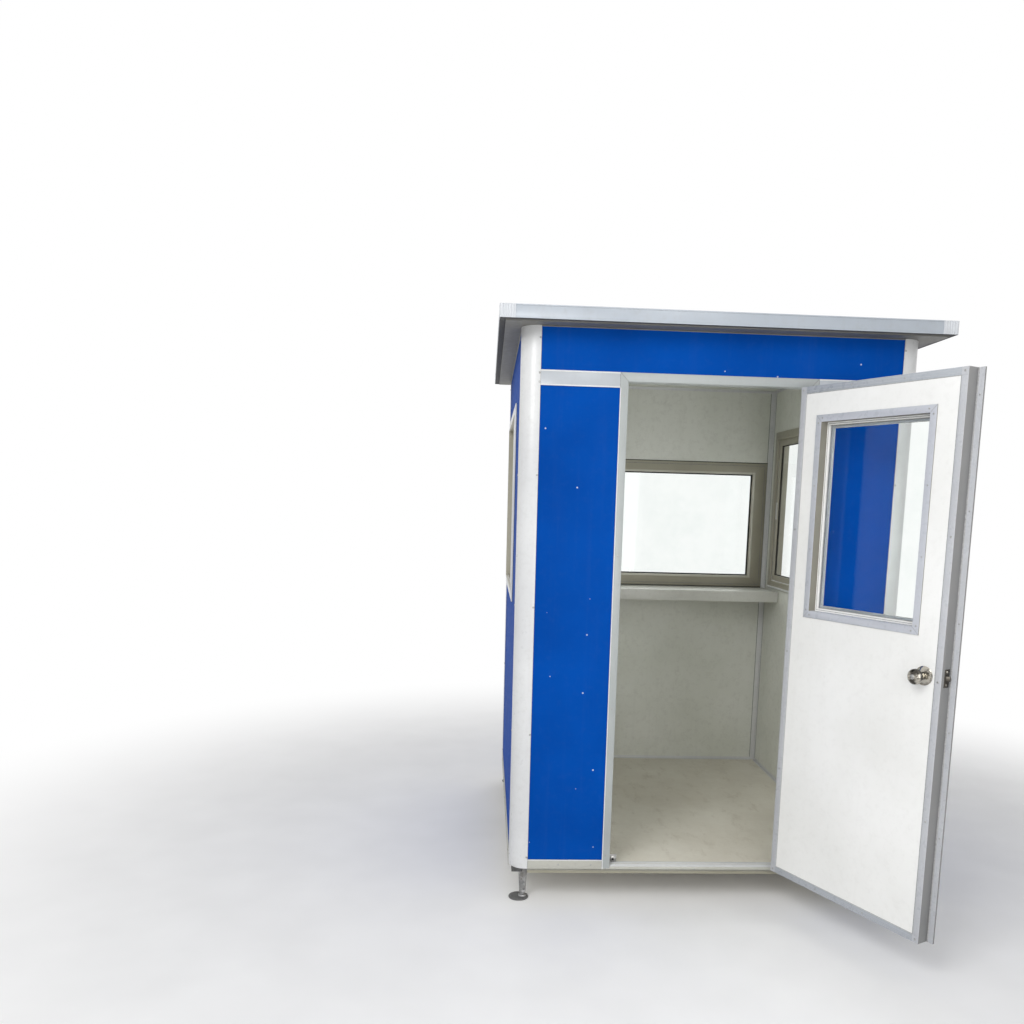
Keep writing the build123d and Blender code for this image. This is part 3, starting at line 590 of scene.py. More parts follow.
class Build:
    """Closed forms gathered into one mesh."""

    def __init__(self):
        self.points = []
        self.faces = []

    def loft(self, rings, closed=False):
        first = len(self.points)
        count = len(rings[0])
        total = len(rings)
        for ring in rings:
            self.points.extend(ring)
        for row in range(total if closed else total - 1):
            this = first + row * count
            following = first + (row + 1) % total * count
            for index in range(count):
                after = (index + 1) % count
                self.faces.append((this + index, this + after, following + after, following + index))
        if not closed:
            last = first + (total - 1) * count
            self.faces.append(tuple(range(first + count - 1, first - 1, -1)))
            self.faces.append(tuple(range(last, last + count)))

    def frame(self, plane, box, section):
        """A mitred frame round the box; the section's first value points outwards."""
        rings = []
        for x, z, sx, sz in corners(box):
            rings.append([plane @ Vector((x + sx * out, z + sz * out, rise)) for out, rise in section])
        self.loft(rings, closed=True)

    def bar(self, plane, start, stop, section):
        start = Vector(start)
        stop = Vector(stop)
        along = (stop - start).normalized()
        side = Vector((-along.y, along.x))
        rings = []
        for end in (start, stop):
            rings.append([plane @ Vector((*(end + side * across), rise)) for across, rise in section])
        self.loft(rings)

    def block(self, plane, box, rise, edge=0.5 * MM, base=0.0):
        """A low block on the face, with its top edges taken off."""
        x0, x1, z0, z1 = box
        rings = []
        for inset, level in ((0, base), (0, rise - edge), (edge, rise)):
            ring = corners((x0 + inset, x1 - inset, z0 + inset, z1 - inset))
            rings.append([plane @ Vector((x, z, level)) for x, z, _, _ in ring])
        self.loft(rings)

    def turned(self, plane, place, profile, sides=24, start=0.0):
        """A turned form about an axis out of the face; the profile is radius and height."""
        x, z = place
        angles = [start + 2 * math.pi * index / sides for index in range(sides)]
        rings = []
        for radius, rise in profile:
            ring = [(x + radius * math.cos(a), z + radius * math.sin(a), rise) for a in angles]
            rings.append([plane @ Vector(point) for point in ring])
        self.loft(rings)

    def stamp(self, template, place):
        first = len(self.points)
        points, faces = template
        self.points.extend(place @ point for point in points)
        self.faces.extend(tuple(first + index for index in face) for face in faces)

    def piece(self, name, slot, look, body="booth"):
        mesh = bpy.data.meshes.new(name)
        mesh.from_pydata([tuple(point) for point in self.points], [], self.faces)
        cleaner = bmesh.new()
        cleaner.from_mesh(mesh)
        bmesh.ops.recalc_face_normals(cleaner, faces=cleaner.faces)
        cleaner.to_mesh(mesh)
        cleaner.free()
        smooth_by_angle(mesh)
        mesh.materials.append(look)
        piece = linked(name, mesh)
        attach(piece, body)
        return piece


# Screws: a domed head with a cross recess
def screw_head(radius=3.9 * MM, height=1.9 * MM, sides=16):
    builder = bmesh.new()
    loops = []
    for share, rise in ((1.0, 0.0), (1.0, 0.3), (0.88, 0.75), (0.62, 1.0)):
        loop = []
        for index in range(sides):
            angle = 2 * math.pi * index / sides
            place = (radius * share * math.cos(angle), radius * share * math.sin(angle), height * rise)
            loop.append(builder.verts.new(place))
        loops.append(loop)
    for inner, outer in zip(loops, loops[1:]):
        for index in range(sides):
            after = (index + 1) % sides
            builder.faces.new((inner[index], inner[after], outer[after], outer[index]))
    arm = 0.46 * radius
    half = 0.12 * radius
    corner = [(arm, -half), (arm, half), (half, half)]
    outline = []
    for quarter in range(4):
        turn = Matrix.Rotation(quarter * math.pi / 2, 2)
        outline += [turn @ Vector(point) for point in corner]
    cross = [builder.verts.new((x, y, height)) for x, y in outline]
    sunk = [builder.verts.new((x * 0.7, y * 0.7, height * 0.35)) for x, y in outline]
    edges = []
    for loop in (loops[-1], cross):
        for index, vert in enumerate(loop):
            ends = (vert, loop[index - 1])
            edges.append(builder.edges.get(ends) or builder.edges.new(ends))
    bmesh.ops.triangle_fill(builder, use_beauty=True, edges=edges)
    for index in range(len(cross)):
        builder.faces.new((cross[index - 1], cross[index], sunk[index], sunk[index - 1]))
    builder.faces.new(sunk)
    builder.faces.new(loops[0][::-1])
    bmesh.ops.recalc_face_normals(builder, faces=builder.faces)
    builder.verts.index_update()
    points = [vert.co.copy() for vert in builder.verts]
    faces = [tuple(vert.index for vert in face.verts) for face in builder.faces]
    builder.free()
    return points, faces


SCREW = screw_head()
TURN = random.Random(4)


def screw(batch, plane, x, z, rise=0.0, scale=1.0):
    place = plane @ Matrix.Translation((x, z, rise)) @ Matrix.Rotation(TURN.uniform(0, math.pi), 4, "Z")
    batch.stamp(SCREW, place @ Matrix.Scale(scale, 4))


def spaced(start, stop, pitch):
    """Evenly spaced places from start to stop, about a pitch apart."""
    count = max(1, round((stop - start) / pitch))
    return [start + (stop - start) * index / count for index in range(count + 1)]


# Screws along the profiles
SCREW_PITCH = 560 * MM
THRESHOLD_PITCH = 350 * MM
END_MARGIN = 45 * MM
SIDE_MARGIN = 150 * MM
REAR_MARGIN = 90 * MM
FLANGE_X = WALL_X - 67.5 * MM
RAIL_MIDDLE_Z = (RAIL_TOP_Z + RAIL_LOW_Z) / 2
RAIL_SCREW_STEP = 17 * MM
BOTTOM_SCREW_Z = BOTTOM_RAIL_TOP_Z - 20 * MM
CASING_SCREW_Z = spaced(BOTTOM_SCREW_Z + 40 * MM, RAIL_LOW_Z - 30 * MM, SCREW_PITCH)


def wall_screws():
    batch = Build()

    def put(plane, x, z, scale=1.0):
        screw(batch, plane, x, z, PROFILE_SKIN, scale)

    post_z = spaced(PANEL_Z + END_MARGIN, SOFFIT_Z - END_MARGIN, SCREW_PITCH)
    for x in (-FLANGE_X, FLANGE_X):
        for z in post_z:
            put(FRONT, x, z)
            put(REAR, x, z)
        for step in (-RAIL_SCREW_STEP, RAIL_SCREW_STEP):
            put(FRONT, x, RAIL_MIDDLE_Z + step)
    for plane, sign in SIDES:
        for y in (FRONT_Y + WALL_X - FLANGE_X, REAR_Y - WALL_X + FLANGE_X):
            for z in post_z:
                put(plane, sign * y, z)
        for y in spaced(FRONT_Y + SIDE_MARGIN, REAR_Y - SIDE_MARGIN, SCREW_PITCH):
            put(plane, sign * y, BOTTOM_SCREW_Z)
    casing_left = (CASING_LEFT_X + OPENING_LEFT_X) / 2
    casing_right = (CASING_RIGHT_X + OPENING_RIGHT_X) / 2
    for x in (casing_left, casing_right):
        for z in CASING_SCREW_Z:
            put(FRONT, x, z)
            put(INSIDE_FRONT, -x, z)
    for x in (-FLANGE_X + 130 * MM, casing_left - 60 * MM, casing_right + 60 * MM, FLANGE_X - 130 * MM):
        put(FRONT, x, BOTTOM_SCREW_Z)
    for x in spaced(casing_left, casing_right, THRESHOLD_PITCH):
        put(FRONT, x, (PANEL_Z + THRESHOLD_LOW_Z) / 2, 0.8)
    for x in spaced(-FLANGE_X + REAR_MARGIN, FLANGE_X - REAR_MARGIN, SCREW_PITCH):
        put(REAR, x, BOTTOM_SCREW_Z)
    batch.piece("wall_screws", "satin_steel", ZINC)


# Seams: thin lines where profiles meet at a mitre or lie against a panel
SEAM = flat_section(1.1, 0.12, 0.04)
WIDE_SEAM = flat_section(1.8, 0.2, 0.05)
# Windows: how wide a sash's stile is and how far a pane reaches into its frame
SASH_STILE = 34 * MM
PANE_BITE = 8 * MM


def mitres(batch, plane, box, width, rise):
    """Four diagonal lines from the corners of the box outwards."""
    for x, z, sx, sz in corners(box):
        batch.bar(plane, (x, z), (x + sx * width, z + sz * width), shifted(SEAM, 0, rise))


def node_face(plane, node):
    """The node's extent on a face, as (x0, x1, z0, z1)."""
    points = points_from(plane, node)
    across = [p.x for p in points]
    rises = [p.y for p in points]
    return min(across), max(across), min(rises), max(rises)


def grown(box, by):
    return box[0] - by, box[1] + by, box[2] - by, box[3] + by


def seen_from_behind(box):
    return -box[1], -box[0], box[2], box[3]


def sash_panes(plane, side):
    """For each sash, its pane's extent across the face and how far out of the face the glass lies."""
    points = points_from(plane, "side_window_glass_" + side)
    levels = [p.z for p in points]
    middle = (min(levels) + max(levels)) / 2
    panes = []
    for group in ([p for p in points if p.z < middle], [p for p in points if p.z > middle]):
        across = [p.x for p in group]
        panes.append((min(across) + PANE_BITE, max(across) - PANE_BITE, max(p.z for p in group)))
    return panes


def window_trims():
    """Gaskets, mitre seams and catches of the fixed rear window and of the two sliding side windows."""
    gaskets = Build()
    seams = Build()
    depth_in = INNER_REAR_Y - low("rear_window_glass").y
    depth_out = high("rear_window_glass").y - REAR_Y
    seal = round_section(7, 3.2)
    clear = grown(node_face(INSIDE_REAR, "rear_window_glass"), -PANE_BITE)
    clear_outside = seen_from_behind(clear)
    gaskets.frame(INSIDE_REAR, clear, shifted(seal, -3.2 * MM, depth_in))
    gaskets.frame(REAR, clear_outside, shifted(seal, -3.2 * MM, depth_out))
    rear_flange = node_face(INSIDE_REAR, "rear_window_frame")
    gaskets.frame(INSIDE_REAR, rear_flange, shifted(flat_section(5, 2), 2 * MM))
    groove = shifted(flat_section(2.5, 0.4, 0.1), 0, 5 * MM)
    seams.frame(INSIDE_REAR, grown(rear_flange, -14 * MM), groove)
    mitres(seams, INSIDE_REAR, grown(clear, 11 * MM), 40 * MM, 5 * MM)
    mitres(seams, REAR, grown(clear_outside, 2 * MM), 44 * MM, PROFILE_SKIN)
    for side, *planes in WINDOW_SIDES:
        for plane in planes:
            clear = node_face(plane, "side_window_sashes_" + side)
            mitres(seams, plane, grown(clear, 10 * MM), 32 * MM, 6 * MM)
            gaskets.frame(plane, node_face(plane, "side_window_frame_" + side), flat_section(2, 1.4))
            for x0, x1, level in sash_panes(plane, side):
                pane = (x0, x1, clear[2] + SASH_STILE, clear[3] - SASH_STILE)
                gaskets.frame(plane, pane, shifted(round_section(5, 2.4), -2.2 * MM, level))
    gaskets.piece("window_gaskets", None, SEAL)
    seams.piece("frame_mitres", None, SEAM_GREY)


# Catches: a crescent lock on the meeting stiles and a finger pull on each sash, inside
def side_window_catches():
    batch = Build()
    pulls = Build()
    for side, plane, _ in WINDOW_SIDES:
        sashes = "side_window_sashes_" + side
        x0, x1, z0, z1 = node_face(plane, sashes)
        sash_rise = max(p.z for p in points_from(plane, sashes))
        near = max(sash_panes(plane, side), key=lambda pane: pane[2])
        stiles = (near[0] - SASH_STILE / 2, near[1] + SASH_STILE / 2)
        meeting, jamb = stiles if near[0] > x0 + 2 * SASH_STILE else stiles[::-1]
        middle = (z0 + z1) / 2
        plate_rise = sash_rise + 5 * MM
        batch.block(plane, around(meeting, middle, 9 * MM, 26 * MM), plate_rise, 1.5 * MM, sash_rise)
        hub = scaled((9, 5), (9, 9), (7.5, 10.5))
        batch.turned(plane, (meeting, middle), shifted(hub, 0, sash_rise))
        lever = around(meeting, middle + 16 * MM, 4 * MM, 18 * MM)
        batch.block(plane, lever, sash_rise + 13 * MM, 1.5 * MM, sash_rise + 8 * MM)
        thumb = scaled((6, 8), (6, 15), (4.5, 16.5))
        batch.turned(plane, (meeting, middle + 32 * MM), shifted(thumb, 0, sash_rise))
        for step in (-20 * MM, 20 * MM):
            screw(batch, plane, meeting, middle + step, plate_rise, 0.7)
        grip = around(jamb, middle, 8 * MM, 45 * MM)
        pulls.frame(plane, grip, shifted(flat_section(3, 2.5, 0.8), 0, sash_rise))
    batch.piece("window_catches", "satin_steel", STEEL)
    pulls.piece("sash_pulls", "white_profile", PROFILE)


# Tracks, ledges and brushes of the side windows
def side_window_tracks():
    batch = Build()
    brush = Build()
    for side, plane, _ in WINDOW_SIDES:
        x0, x1, z0, z1 = node_face(plane, "side_window_sashes_" + side)
        inward = plane.to_3x3() @ Vector((0, 0, 1))
        for depth in (-3 * MM, -WALL + 3 * MM, -WALL / 2):
            ledge = facing(plane @ Vector((0, z0, depth)), (0, 0, 1), up=inward)
            start, stop = [(ledge.inverted() @ plane @ Vector((x, z0, depth))).xy for x in (x0, x1)]
            batch.bar(ledge, start, stop, flat_section(1.6, 5))
        left, right, foot, _ = node_face(plane, "side_window_frame_" + side)
        ledge_bar = (left + 3 * MM, right - 3 * MM, foot + 4 * MM, foot + 14 * MM)
        batch.block(plane, ledge_bar, 12 * MM, 1.5 * MM, 5 * MM)
        for x in (x0 + 1.5 * MM, x1 - 1.5 * MM):
            brush.bar(plane, (x, z0), (x, z1), shifted(flat_section(3, 4), 0, -6 * MM))
    batch.piece("window_tracks", "white_profile", PROFILE)
    brush.piece("window_brushes", None, GREY_SEAL)


# The door's edging: fine ridges, corner squares and screws, on both faces
RIDGE = flat_section(1.3, 0.7, 0.3)
CORNER_PROUD = 0.9 * MM
HINGE_STEP = 9 * MM
DOOR_BOX_IN = (HINGE_EDGE_X, LATCH_EDGE_X, DOOR_LOW_Z, DOOR_HIGH_Z)
DOOR_BOX_OUT = (-LATCH_EDGE_X, -HINGE_EDGE_X - HINGE_STEP, DOOR_LOW_Z, DOOR_HIGH_Z)
LOCK_SCREW_STEP = 478 * MM
LOCK_SCREW_DROP = 13 * MM
EDGING_SCREW_Z = [LOCK_Z - LOCK_SCREW_DROP + step * LOCK_SCREW_STEP for step in (-1, 0, 1)]


def door_edging():
    ridges = Build()
    squares = Build()
    heads = Build()
    joints = Build()
    for plane, box in ((DOOR_IN, DOOR_BOX_IN), (DOOR_OUT, DOOR_BOX_OUT)):
        x0, x1, z0, z1 = box
        for inset in (7 * MM, 17.5 * MM):
            ridges.frame(plane, grown(box, -inset), RIDGE)
        joints.frame(plane, grown(box, -EDGING), shifted(WIDE_SEAM, -1.5 * MM, -1.5 * MM))
        for x in (x0, x1 - EDGING):
            for z in (z0, z1 - EDGING):
                squares.block(plane, (x, x + EDGING, z, z + EDGING), CORNER_PROUD, 0.5 * MM)
                screw(heads, plane, x + EDGING / 2, z + EDGING / 2, CORNER_PROUD, 0.95)
        for x in (x0 + EDGING / 2, x1 - EDGING / 2):
            for z in EDGING_SCREW_Z:
                screw(heads, plane, x, z, 0.0, 0.95)
        for x in spaced(x0 + EDGING / 2, x1 - EDGING / 2, 230 * MM)[1:-1]:
            screw(heads, plane, x, z0 + EDGING / 2, 0.0, 0.8)
            screw(heads, plane, x, z1 - EDGING / 2, 0.0, 0.8)
    ridges.piece("door_edging_ridges", "white_profile", STILE, "door")
    squares.piece("door_corner_squares", "white_profile", STILE, "door")
    joints.piece("door_edging_seams", None, SEAM_GREY, "door")
    heads.piece("door_edging_screws", "satin_steel", ZINC, "door")


# The lip that laps over the frame: ribs, a seal at its root, and its screws
LIP_THICK = 8 * MM
DOOR_LIP = door_facing(0, LIP_THICK, (0, 1, 0))
LIP_MIDDLE_X = (LATCH_EDGE_X + LIP_TIP_X) / 2


def door_lip():
    ribs = Build()
    for share in (0.45, 0.62, 0.79, 0.93):
        x = LATCH_EDGE_X + share * (LIP_TIP_X - LATCH_EDGE_X)
        ribs.bar(DOOR_LIP, (x, DOOR_LOW_Z), (x, DOOR_HIGH_Z), flat_section(1.6, 0.7, 0.3))
    ribs.piece("door_lip_ribs", "white_profile", STILE, "door")
    seal = Build()
    x = LATCH_EDGE_X + 3.2 * MM
    seal.bar(DOOR_LIP, (x, DOOR_LOW_Z), (x, DOOR_HIGH_Z), round_section(4.6, 2.0))
    seal.piece("door_seal", None, GREY_SEAL, "door")
    heads = Build()
    for z in [LOCK_Z + step * 183 * MM for step in (-5, -3, -1, 1, 3, 5)]:
        if DOOR_LOW_Z + 20 * MM < z < DOOR_HIGH_Z - 20 * MM:
            screw(heads, DOOR_LIP, LIP_MIDDLE_X + 2 * MM, z, 0.4 * MM, 0.7)
    heads.piece("door_lip_screws", "satin_steel", ZINC, "door")


# The door's window: mitres and screws in the trim, seals on both sides of the pane
def door_window_details():
    heads = Build()
    joints = Build()
    seals = Build()
    pane = (PANE_LOW.x, PANE_HIGH.x, PANE_LOW.z, PANE_HIGH.z)
    for plane, box, rise in (
        (DOOR_IN, pane, shut_box("door_window_trim")[1].y - DOOR_DEPTH),
        (DOOR_OUT, seen_from_behind(pane), -shut_box("door_window_trim")[0].y),
    ):
        x0, x1, z0, z1 = box
        mitres(joints, plane, box, 24 * MM, rise)
        for x, sx in ((x0, -1), (x1, 1)):
            for z, sz in ((z0, -1), (z1, 1)):
                screw(heads, plane, x + sx * 12 * MM, z - sz * 6 * MM, rise, 0.8)
                screw(heads, plane, x - sx * 6 * MM, z + sz * 12 * MM, rise, 0.8)
        for z in spaced(z0, z1, 240 * MM)[1:-1]:
            screw(heads, plane, x0 - 12 * MM, z, rise, 0.7)
            screw(heads, plane, x1 + 12 * MM, z, rise, 0.7)
    seal = shifted(round_section(2.4, 1.6), -1.0 * MM)
    seals.frame(door_facing(0, PANE_HIGH.y, (0, 1, 0)), grown(pane, -13 * MM), seal)
    seals.frame(door_facing(0, PANE_LOW.y, (0, -1, 0)), grown(seen_from_behind(pane), -22 * MM), seal)
    groove = door_facing(0, PANE_HIGH.y + 8 * MM, (0, 1, 0))
    joints.frame(groove, grown(pane, -7 * MM), WIDE_SEAM)
    heads.piece("door_window_screws", "satin_steel", ZINC, "door")
    joints.piece("door_window_seams", None, SEAM_GREY, "door")
    seals.piece("door_window_seals", None, GREY_SEAL, "door")


# Lock furniture: screws of both plates, the turn button inside, the key slot outside
LOCK_SCREWS = (-22 * MM, 22 * MM)
TURN_BUTTON = scaled(
    (8.5, -1), (8.5, 0.2), (8, 0.6), (6.8, 0.6), (6.4, 0.1), (6, 0.1), (5.8, 1), (5, 1.4), (1, 1.5)
)
KEY_CYLINDER = scaled((9.5, -1), (9.5, 0.8), (8.8, 1.4), (8, 1.4), (7.6, 0.9), (1, 0.9))


def lock_details():
    heads = Build()
    for step in LOCK_SCREWS:
        screw(heads, DOOR_EDGE, -BOLT_Y, LOCK_Z + step, 0.0, 1.15)
    heads.piece("latch_plate_screws", "satin_steel", POLISHED, "door")
    frame_side = Build()
    jamb_face = facing((OPENING_LEFT_X, 0, 0), (1, 0, 0))
    strike_y = (low("strike_plate").y + high("strike_plate").y) / 2
    for step in LOCK_SCREWS:
        screw(frame_side, jamb_face, strike_y, LOCK_Z + step, 0.0, 0.95)
    frame_side.piece("strike_plate_screws", "satin_steel", POLISHED)
    knob_low, knob_high = shut_box("door_knobs")
    turn_face = door_facing(0, knob_high.y, (0, 1, 0))
    key_face = door_facing(0, knob_low.y, (0, -1, 0))
    button = Build()
    button.turned(turn_face, (KNOB_X, LOCK_Z), TURN_BUTTON)
    button.turned(key_face, (-KNOB_X, LOCK_Z), KEY_CYLINDER)
    button.piece("knob_buttons", "satin_steel", STEEL, "knobs")
    slot = Build()
    key_slot = around(-KNOB_X, LOCK_Z, 0.8 * MM, 4.5 * MM)
    slot.block(key_face, key_slot, 1.05 * MM, 0.1 * MM, 0.5 * MM)
    turn_slot = around(KNOB_X, LOCK_Z, 4 * MM, 0.6 * MM)
    slot.block(turn_face, turn_slot, 1.6 * MM, 0.05 * MM, 1.0 * MM)
    # The slots are near-black blocks, painted shade for the holes
    slot.piece("knob_slots", None, DARK, "knobs")


# The hinge leaves' screws are countersunk, nearly flush, so that the leaves close on each other
COUNTERSUNK = 0.12


def hinge_screws():
    heads = Build()
    hinge_z = sorted({round(v.co.z, 5) for v in NODES["hinges_door_side"].data.vertices})
    groups = []
    for z in hinge_z:
        if groups and z - groups[-1][-1] < 200 * MM:
            groups[-1].append(z)
        else:
            groups.append([z])
    jamb_face = facing((OPENING_RIGHT_X - 2 * MM, 0, 0), (-1, 0, 0))
    for group in groups:
        middle = (group[0] + group[-1]) / 2
        for step, side in ((-34 * MM, 18 * MM), (0, 23 * MM), (34 * MM, 18 * MM)):
            place = jamb_face @ Matrix.Translation((-(HINGE.y + side), middle + step, 0))
            heads.stamp(SCREW, place @ Matrix.Diagonal((0.85, 0.85, COUNTERSUNK, 1)))
    heads.piece("hinge_screws", "satin_steel", ZINC)


SILL_TOP_Z = DOOR_LOW_Z - 5 * MM
CASING_HEAD_Z = DOOR_HIGH_Z + 5 * MM
BRACKET_WIDTH = 30 * MM
BRACKET_HEIGHT = 32 * MM
BRACKET_BOSS = scaled((12, 0), (12, 2.2), (10.6, 3.2), (5.2, 3.4), (4.6, 2.2))


# Doorway: ribs on the threshold, a corner bracket behind the shut door, seams in the frame
def doorway_details():
    ribs = Build()
    sill_front = low("threshold").y + PROFILE_SKIN
    top = facing((0, 0, SILL_TOP_Z), (0, 0, 1), up=(0, 1, 0))
    for step in (8 * MM, 13 * MM, 18 * MM, 38 * MM, 43 * MM):
        y = sill_front + step
        ribs.bar(top, (OPENING_LEFT_X, y), (OPENING_RIGHT_X, y), flat_section(1.6, 0.8, 0.3))
    # The ribs take the same white, a painted highlight on the threshold's top
    ribs.piece("threshold_ribs", "white_profile", PROFILE)
    bracket = Build()
    x0 = OPENING_LEFT_X + 5 * MM
    plate = (-x0 - BRACKET_WIDTH, -x0, SILL_TOP_Z, SILL_TOP_Z + BRACKET_HEIGHT)
    bracket.block(INSIDE_FRONT, plate, 0.0, 0.8 * MM, -3 * MM)
    face = facing((0, INNER_FRONT_Y - 3 * MM, 0), (0, -1, 0))
    boss = (x0 + BRACKET_WIDTH / 2, SILL_TOP_Z + 13 * MM)
    bracket.turned(face, boss, BRACKET_BOSS)
    bracket.piece("corner_bracket", "satin_steel", STEEL)
    hole = Build()
    hole.turned(face, boss, scaled((4.6, 1.8), (4.5, 3.6)), 16)
    # The socket is a near-black ring, painted shade for the hole
    hole.piece("corner_bracket_socket", None, DARK)
    seams = Build()
    corner_width = OPENING_LEFT_X - CASING_LEFT_X
    fine = shifted(SEAM, 0, PROFILE_SKIN)
    wide = shifted(WIDE_SEAM, 0, PROFILE_SKIN)
    for x, sx in ((OPENING_LEFT_X, -1), (OPENING_RIGHT_X, 1)):
        outer_x = x + sx * corner_width
        seams.bar(FRONT, (x, CASING_HEAD_Z), (outer_x, RAIL_TOP_Z), wide)
        seams.bar(FRONT, (outer_x, RAIL_LOW_Z), (outer_x, RAIL_TOP_Z), wide)
        seams.bar(FRONT, (outer_x, THRESHOLD_LOW_Z), (outer_x, BOTTOM_RAIL_TOP_Z), fine)
    sunk = shifted(fine, 0, -0.05 * MM)
    for x in (-RAIL_END_X, RAIL_END_X):
        for plane in (FRONT, REAR):
            seams.bar(plane, (x, THRESHOLD_LOW_Z), (x, SOFFIT_Z), sunk)
    seams.piece("casing_seams", None, SEAM_GREY)


CORNER_COVER = 74.5 * MM
ROOF_MARGIN = 25 * MM


# Sealant under the soffit in the soffit's painted shade, gaps in the inner corners, and the covers of the
# roof's joints
def sealant():
    bead = Build()
    section = round_section(5, 2.6)
    reach = WALL_X - 66 * MM
    z = SOFFIT_Z - 2 * MM
    for plane in (FRONT, REAR):
        bead.bar(plane, (-reach, z), (reach, z), section)
    for plane, sign in SIDES:
        start, stop = sorted((sign * (FRONT_Y + 70 * MM), sign * (REAR_Y - 70 * MM)))
        bead.bar(plane, (start, z), (stop, z), section)
    # The sealant is painted in the soffit's painted shade
    bead.piece("soffit_sealant", "white_profile", SOFFIT)
    gaps = Build()
    gap = flat_section(2.2, 0.5, 0.1)
    for x in (CORNER_COVER - WALL_X, WALL_X - CORNER_COVER):
        gaps.bar(INSIDE_REAR, (x, FLOOR_Z), (x, SOFFIT_Z), gap)
    for plane, sign in ((INSIDE_LEFT, 1), (INSIDE_RIGHT, -1)):
        for y in (REAR_Y - CORNER_COVER, FRONT_Y + CORNER_COVER):
            gaps.bar(plane, (sign * y, FLOOR_Z), (sign * y, SOFFIT_Z), gap)
    gaps.piece("corner_gaps", None, DARK_GREY)
    roof = Build()
    third = (high("roof_panel").x - ROOF_MARGIN) / 3
    y_front = low("roof_panel").y + ROOF_MARGIN
    y_rear = high("roof_panel").y - ROOF_MARGIN
    for x in (-third, third):
        roof.bar(ROOF_TOP, (x, y_front), (x, y_rear), flat_section(30, 2.4, 1.0))
    roof.piece("roof_joint_covers", "white_fascia", ROOF_WHITE)
    heads = Build()
    for x in (-third, third):
        for y in spaced(y_front + 60 * MM, y_rear - 60 * MM, 300 * MM):
            screw(heads, ROOF_TOP, x, y, 1.0 * MM, 0.7)
    heads.piece("roof_screws", "satin_steel", ZINC)


# Beads painted white as painted highlight lines: down the outer edge of the door casing and along the top of
# the front bottom rail
BEAD = round_section(4, 1.6)


def painted_highlight_beads():
    batch = Build()
    raised = shifted(BEAD, 0, PROFILE_SKIN)
    for x in (CASING_LEFT_X + 2.5 * MM, CASING_RIGHT_X - 2.5 * MM):
        batch.bar(FRONT, (x, THRESHOLD_LOW_Z), (x, RAIL_LOW_Z), raised)
    z = BOTTOM_RAIL_TOP_Z - 2.5 * MM
    for x0, x1 in ((-RAIL_END_X, CASING_LEFT_X), (CASING_RIGHT_X, RAIL_END_X)):
        batch.bar(FRONT, (x0, z), (x1, z), raised)
    batch.bar(REAR, (-RAIL_END_X, z), (RAIL_END_X, z), raised)
    batch.piece("painted_highlight_beads", "white_profile", PROFILE)


# A drip flange along the foot of each bottom rail, painted a darker beige as painted shade
DRIP_HEIGHT = 11 * MM


def drip_flanges():
    batch = Build()
    middle = BODY_Z + DRIP_HEIGHT / 2
    section = shifted(flat_section(DRIP_HEIGHT / MM, 0.8, 0.3), 0, PROFILE_SKIN)
    for plane in (FRONT, REAR):
        batch.bar(plane, (-RAIL_END_X, middle), (RAIL_END_X, middle), section)
    side_start = FRONT_Y + WALL_X - RAIL_END_X
    side_stop = REAR_Y - WALL_X + RAIL_END_X
    for plane, sign in SIDES:
        batch.bar(plane, (sign * side_start, middle), (sign * side_stop, middle), section)
    batch.piece("drip_flanges", "white_profile", BASE_LOW)


# The ceiling's inner lining, under the roof panel
def ceiling_lining():
    batch = Build()
    downward = facing((0, 0, SOFFIT_Z), (0, 0, -1), up=(0, 1, 0))
    batch.block(downward, (-INNER_X, INNER_X, INNER_FRONT_Y, INNER_REAR_Y), 0.8 * MM, 0.2 * MM)
    batch.piece("ceiling_lining", "white_panel", INNER_WHITE)


# Levelling feet: a pad with a socket, a threaded screw with its nut, a tapered tube and a corner block
FOOT_INSET = 57 * MM
PAD_OFFSET = 16 * MM
TUBE_LOW_Z = 32 * MM
BLOCK_MIDDLE = 26.5 * MM
BLOCK_HALF = 22.5 * MM
THREAD_PITCH = 2.5 * MM
PAD = scaled((38.5, 0), (40.4, 0.6), (41, 2.2), (41, 3.4), (39.8, 5.2), (37, 6.6), (34, 7), (1, 7))
SOCKET = scaled((17, 6.5), (17, 10.5), (15.5, 12.5), (11, 13.5), (1, 13.5))
THREAD = scaled((8.6, 12))
NUT = scaled((13.4, 21), (14.6, 22.5), (14.6, 30.5), (13.4, 32))
TUBE = [(13 * MM, TUBE_LOW_Z), (13.6 * MM, TUBE_LOW_Z + MM), (19 * MM, BODY_Z - 4 * MM), (19 * MM, BODY_Z)]
WELD = scaled((18.4, 123), (21, 125.5), (22, 128), (21.5, 130), (1, 130))
while THREAD[-1][1] < TUBE_LOW_Z:
    level = THREAD[-1][1]
    THREAD += [(7.4 * MM, level + THREAD_PITCH / 2), (8.6 * MM, level + THREAD_PITCH)]
# Each form of the shaft with its number of sides and its turn
SHAFT = ((SOCKET, 28, 0), (THREAD, 20, 0), (NUT, 6, 0.3), (TUBE, 32, 0), (WELD, 32, 0))


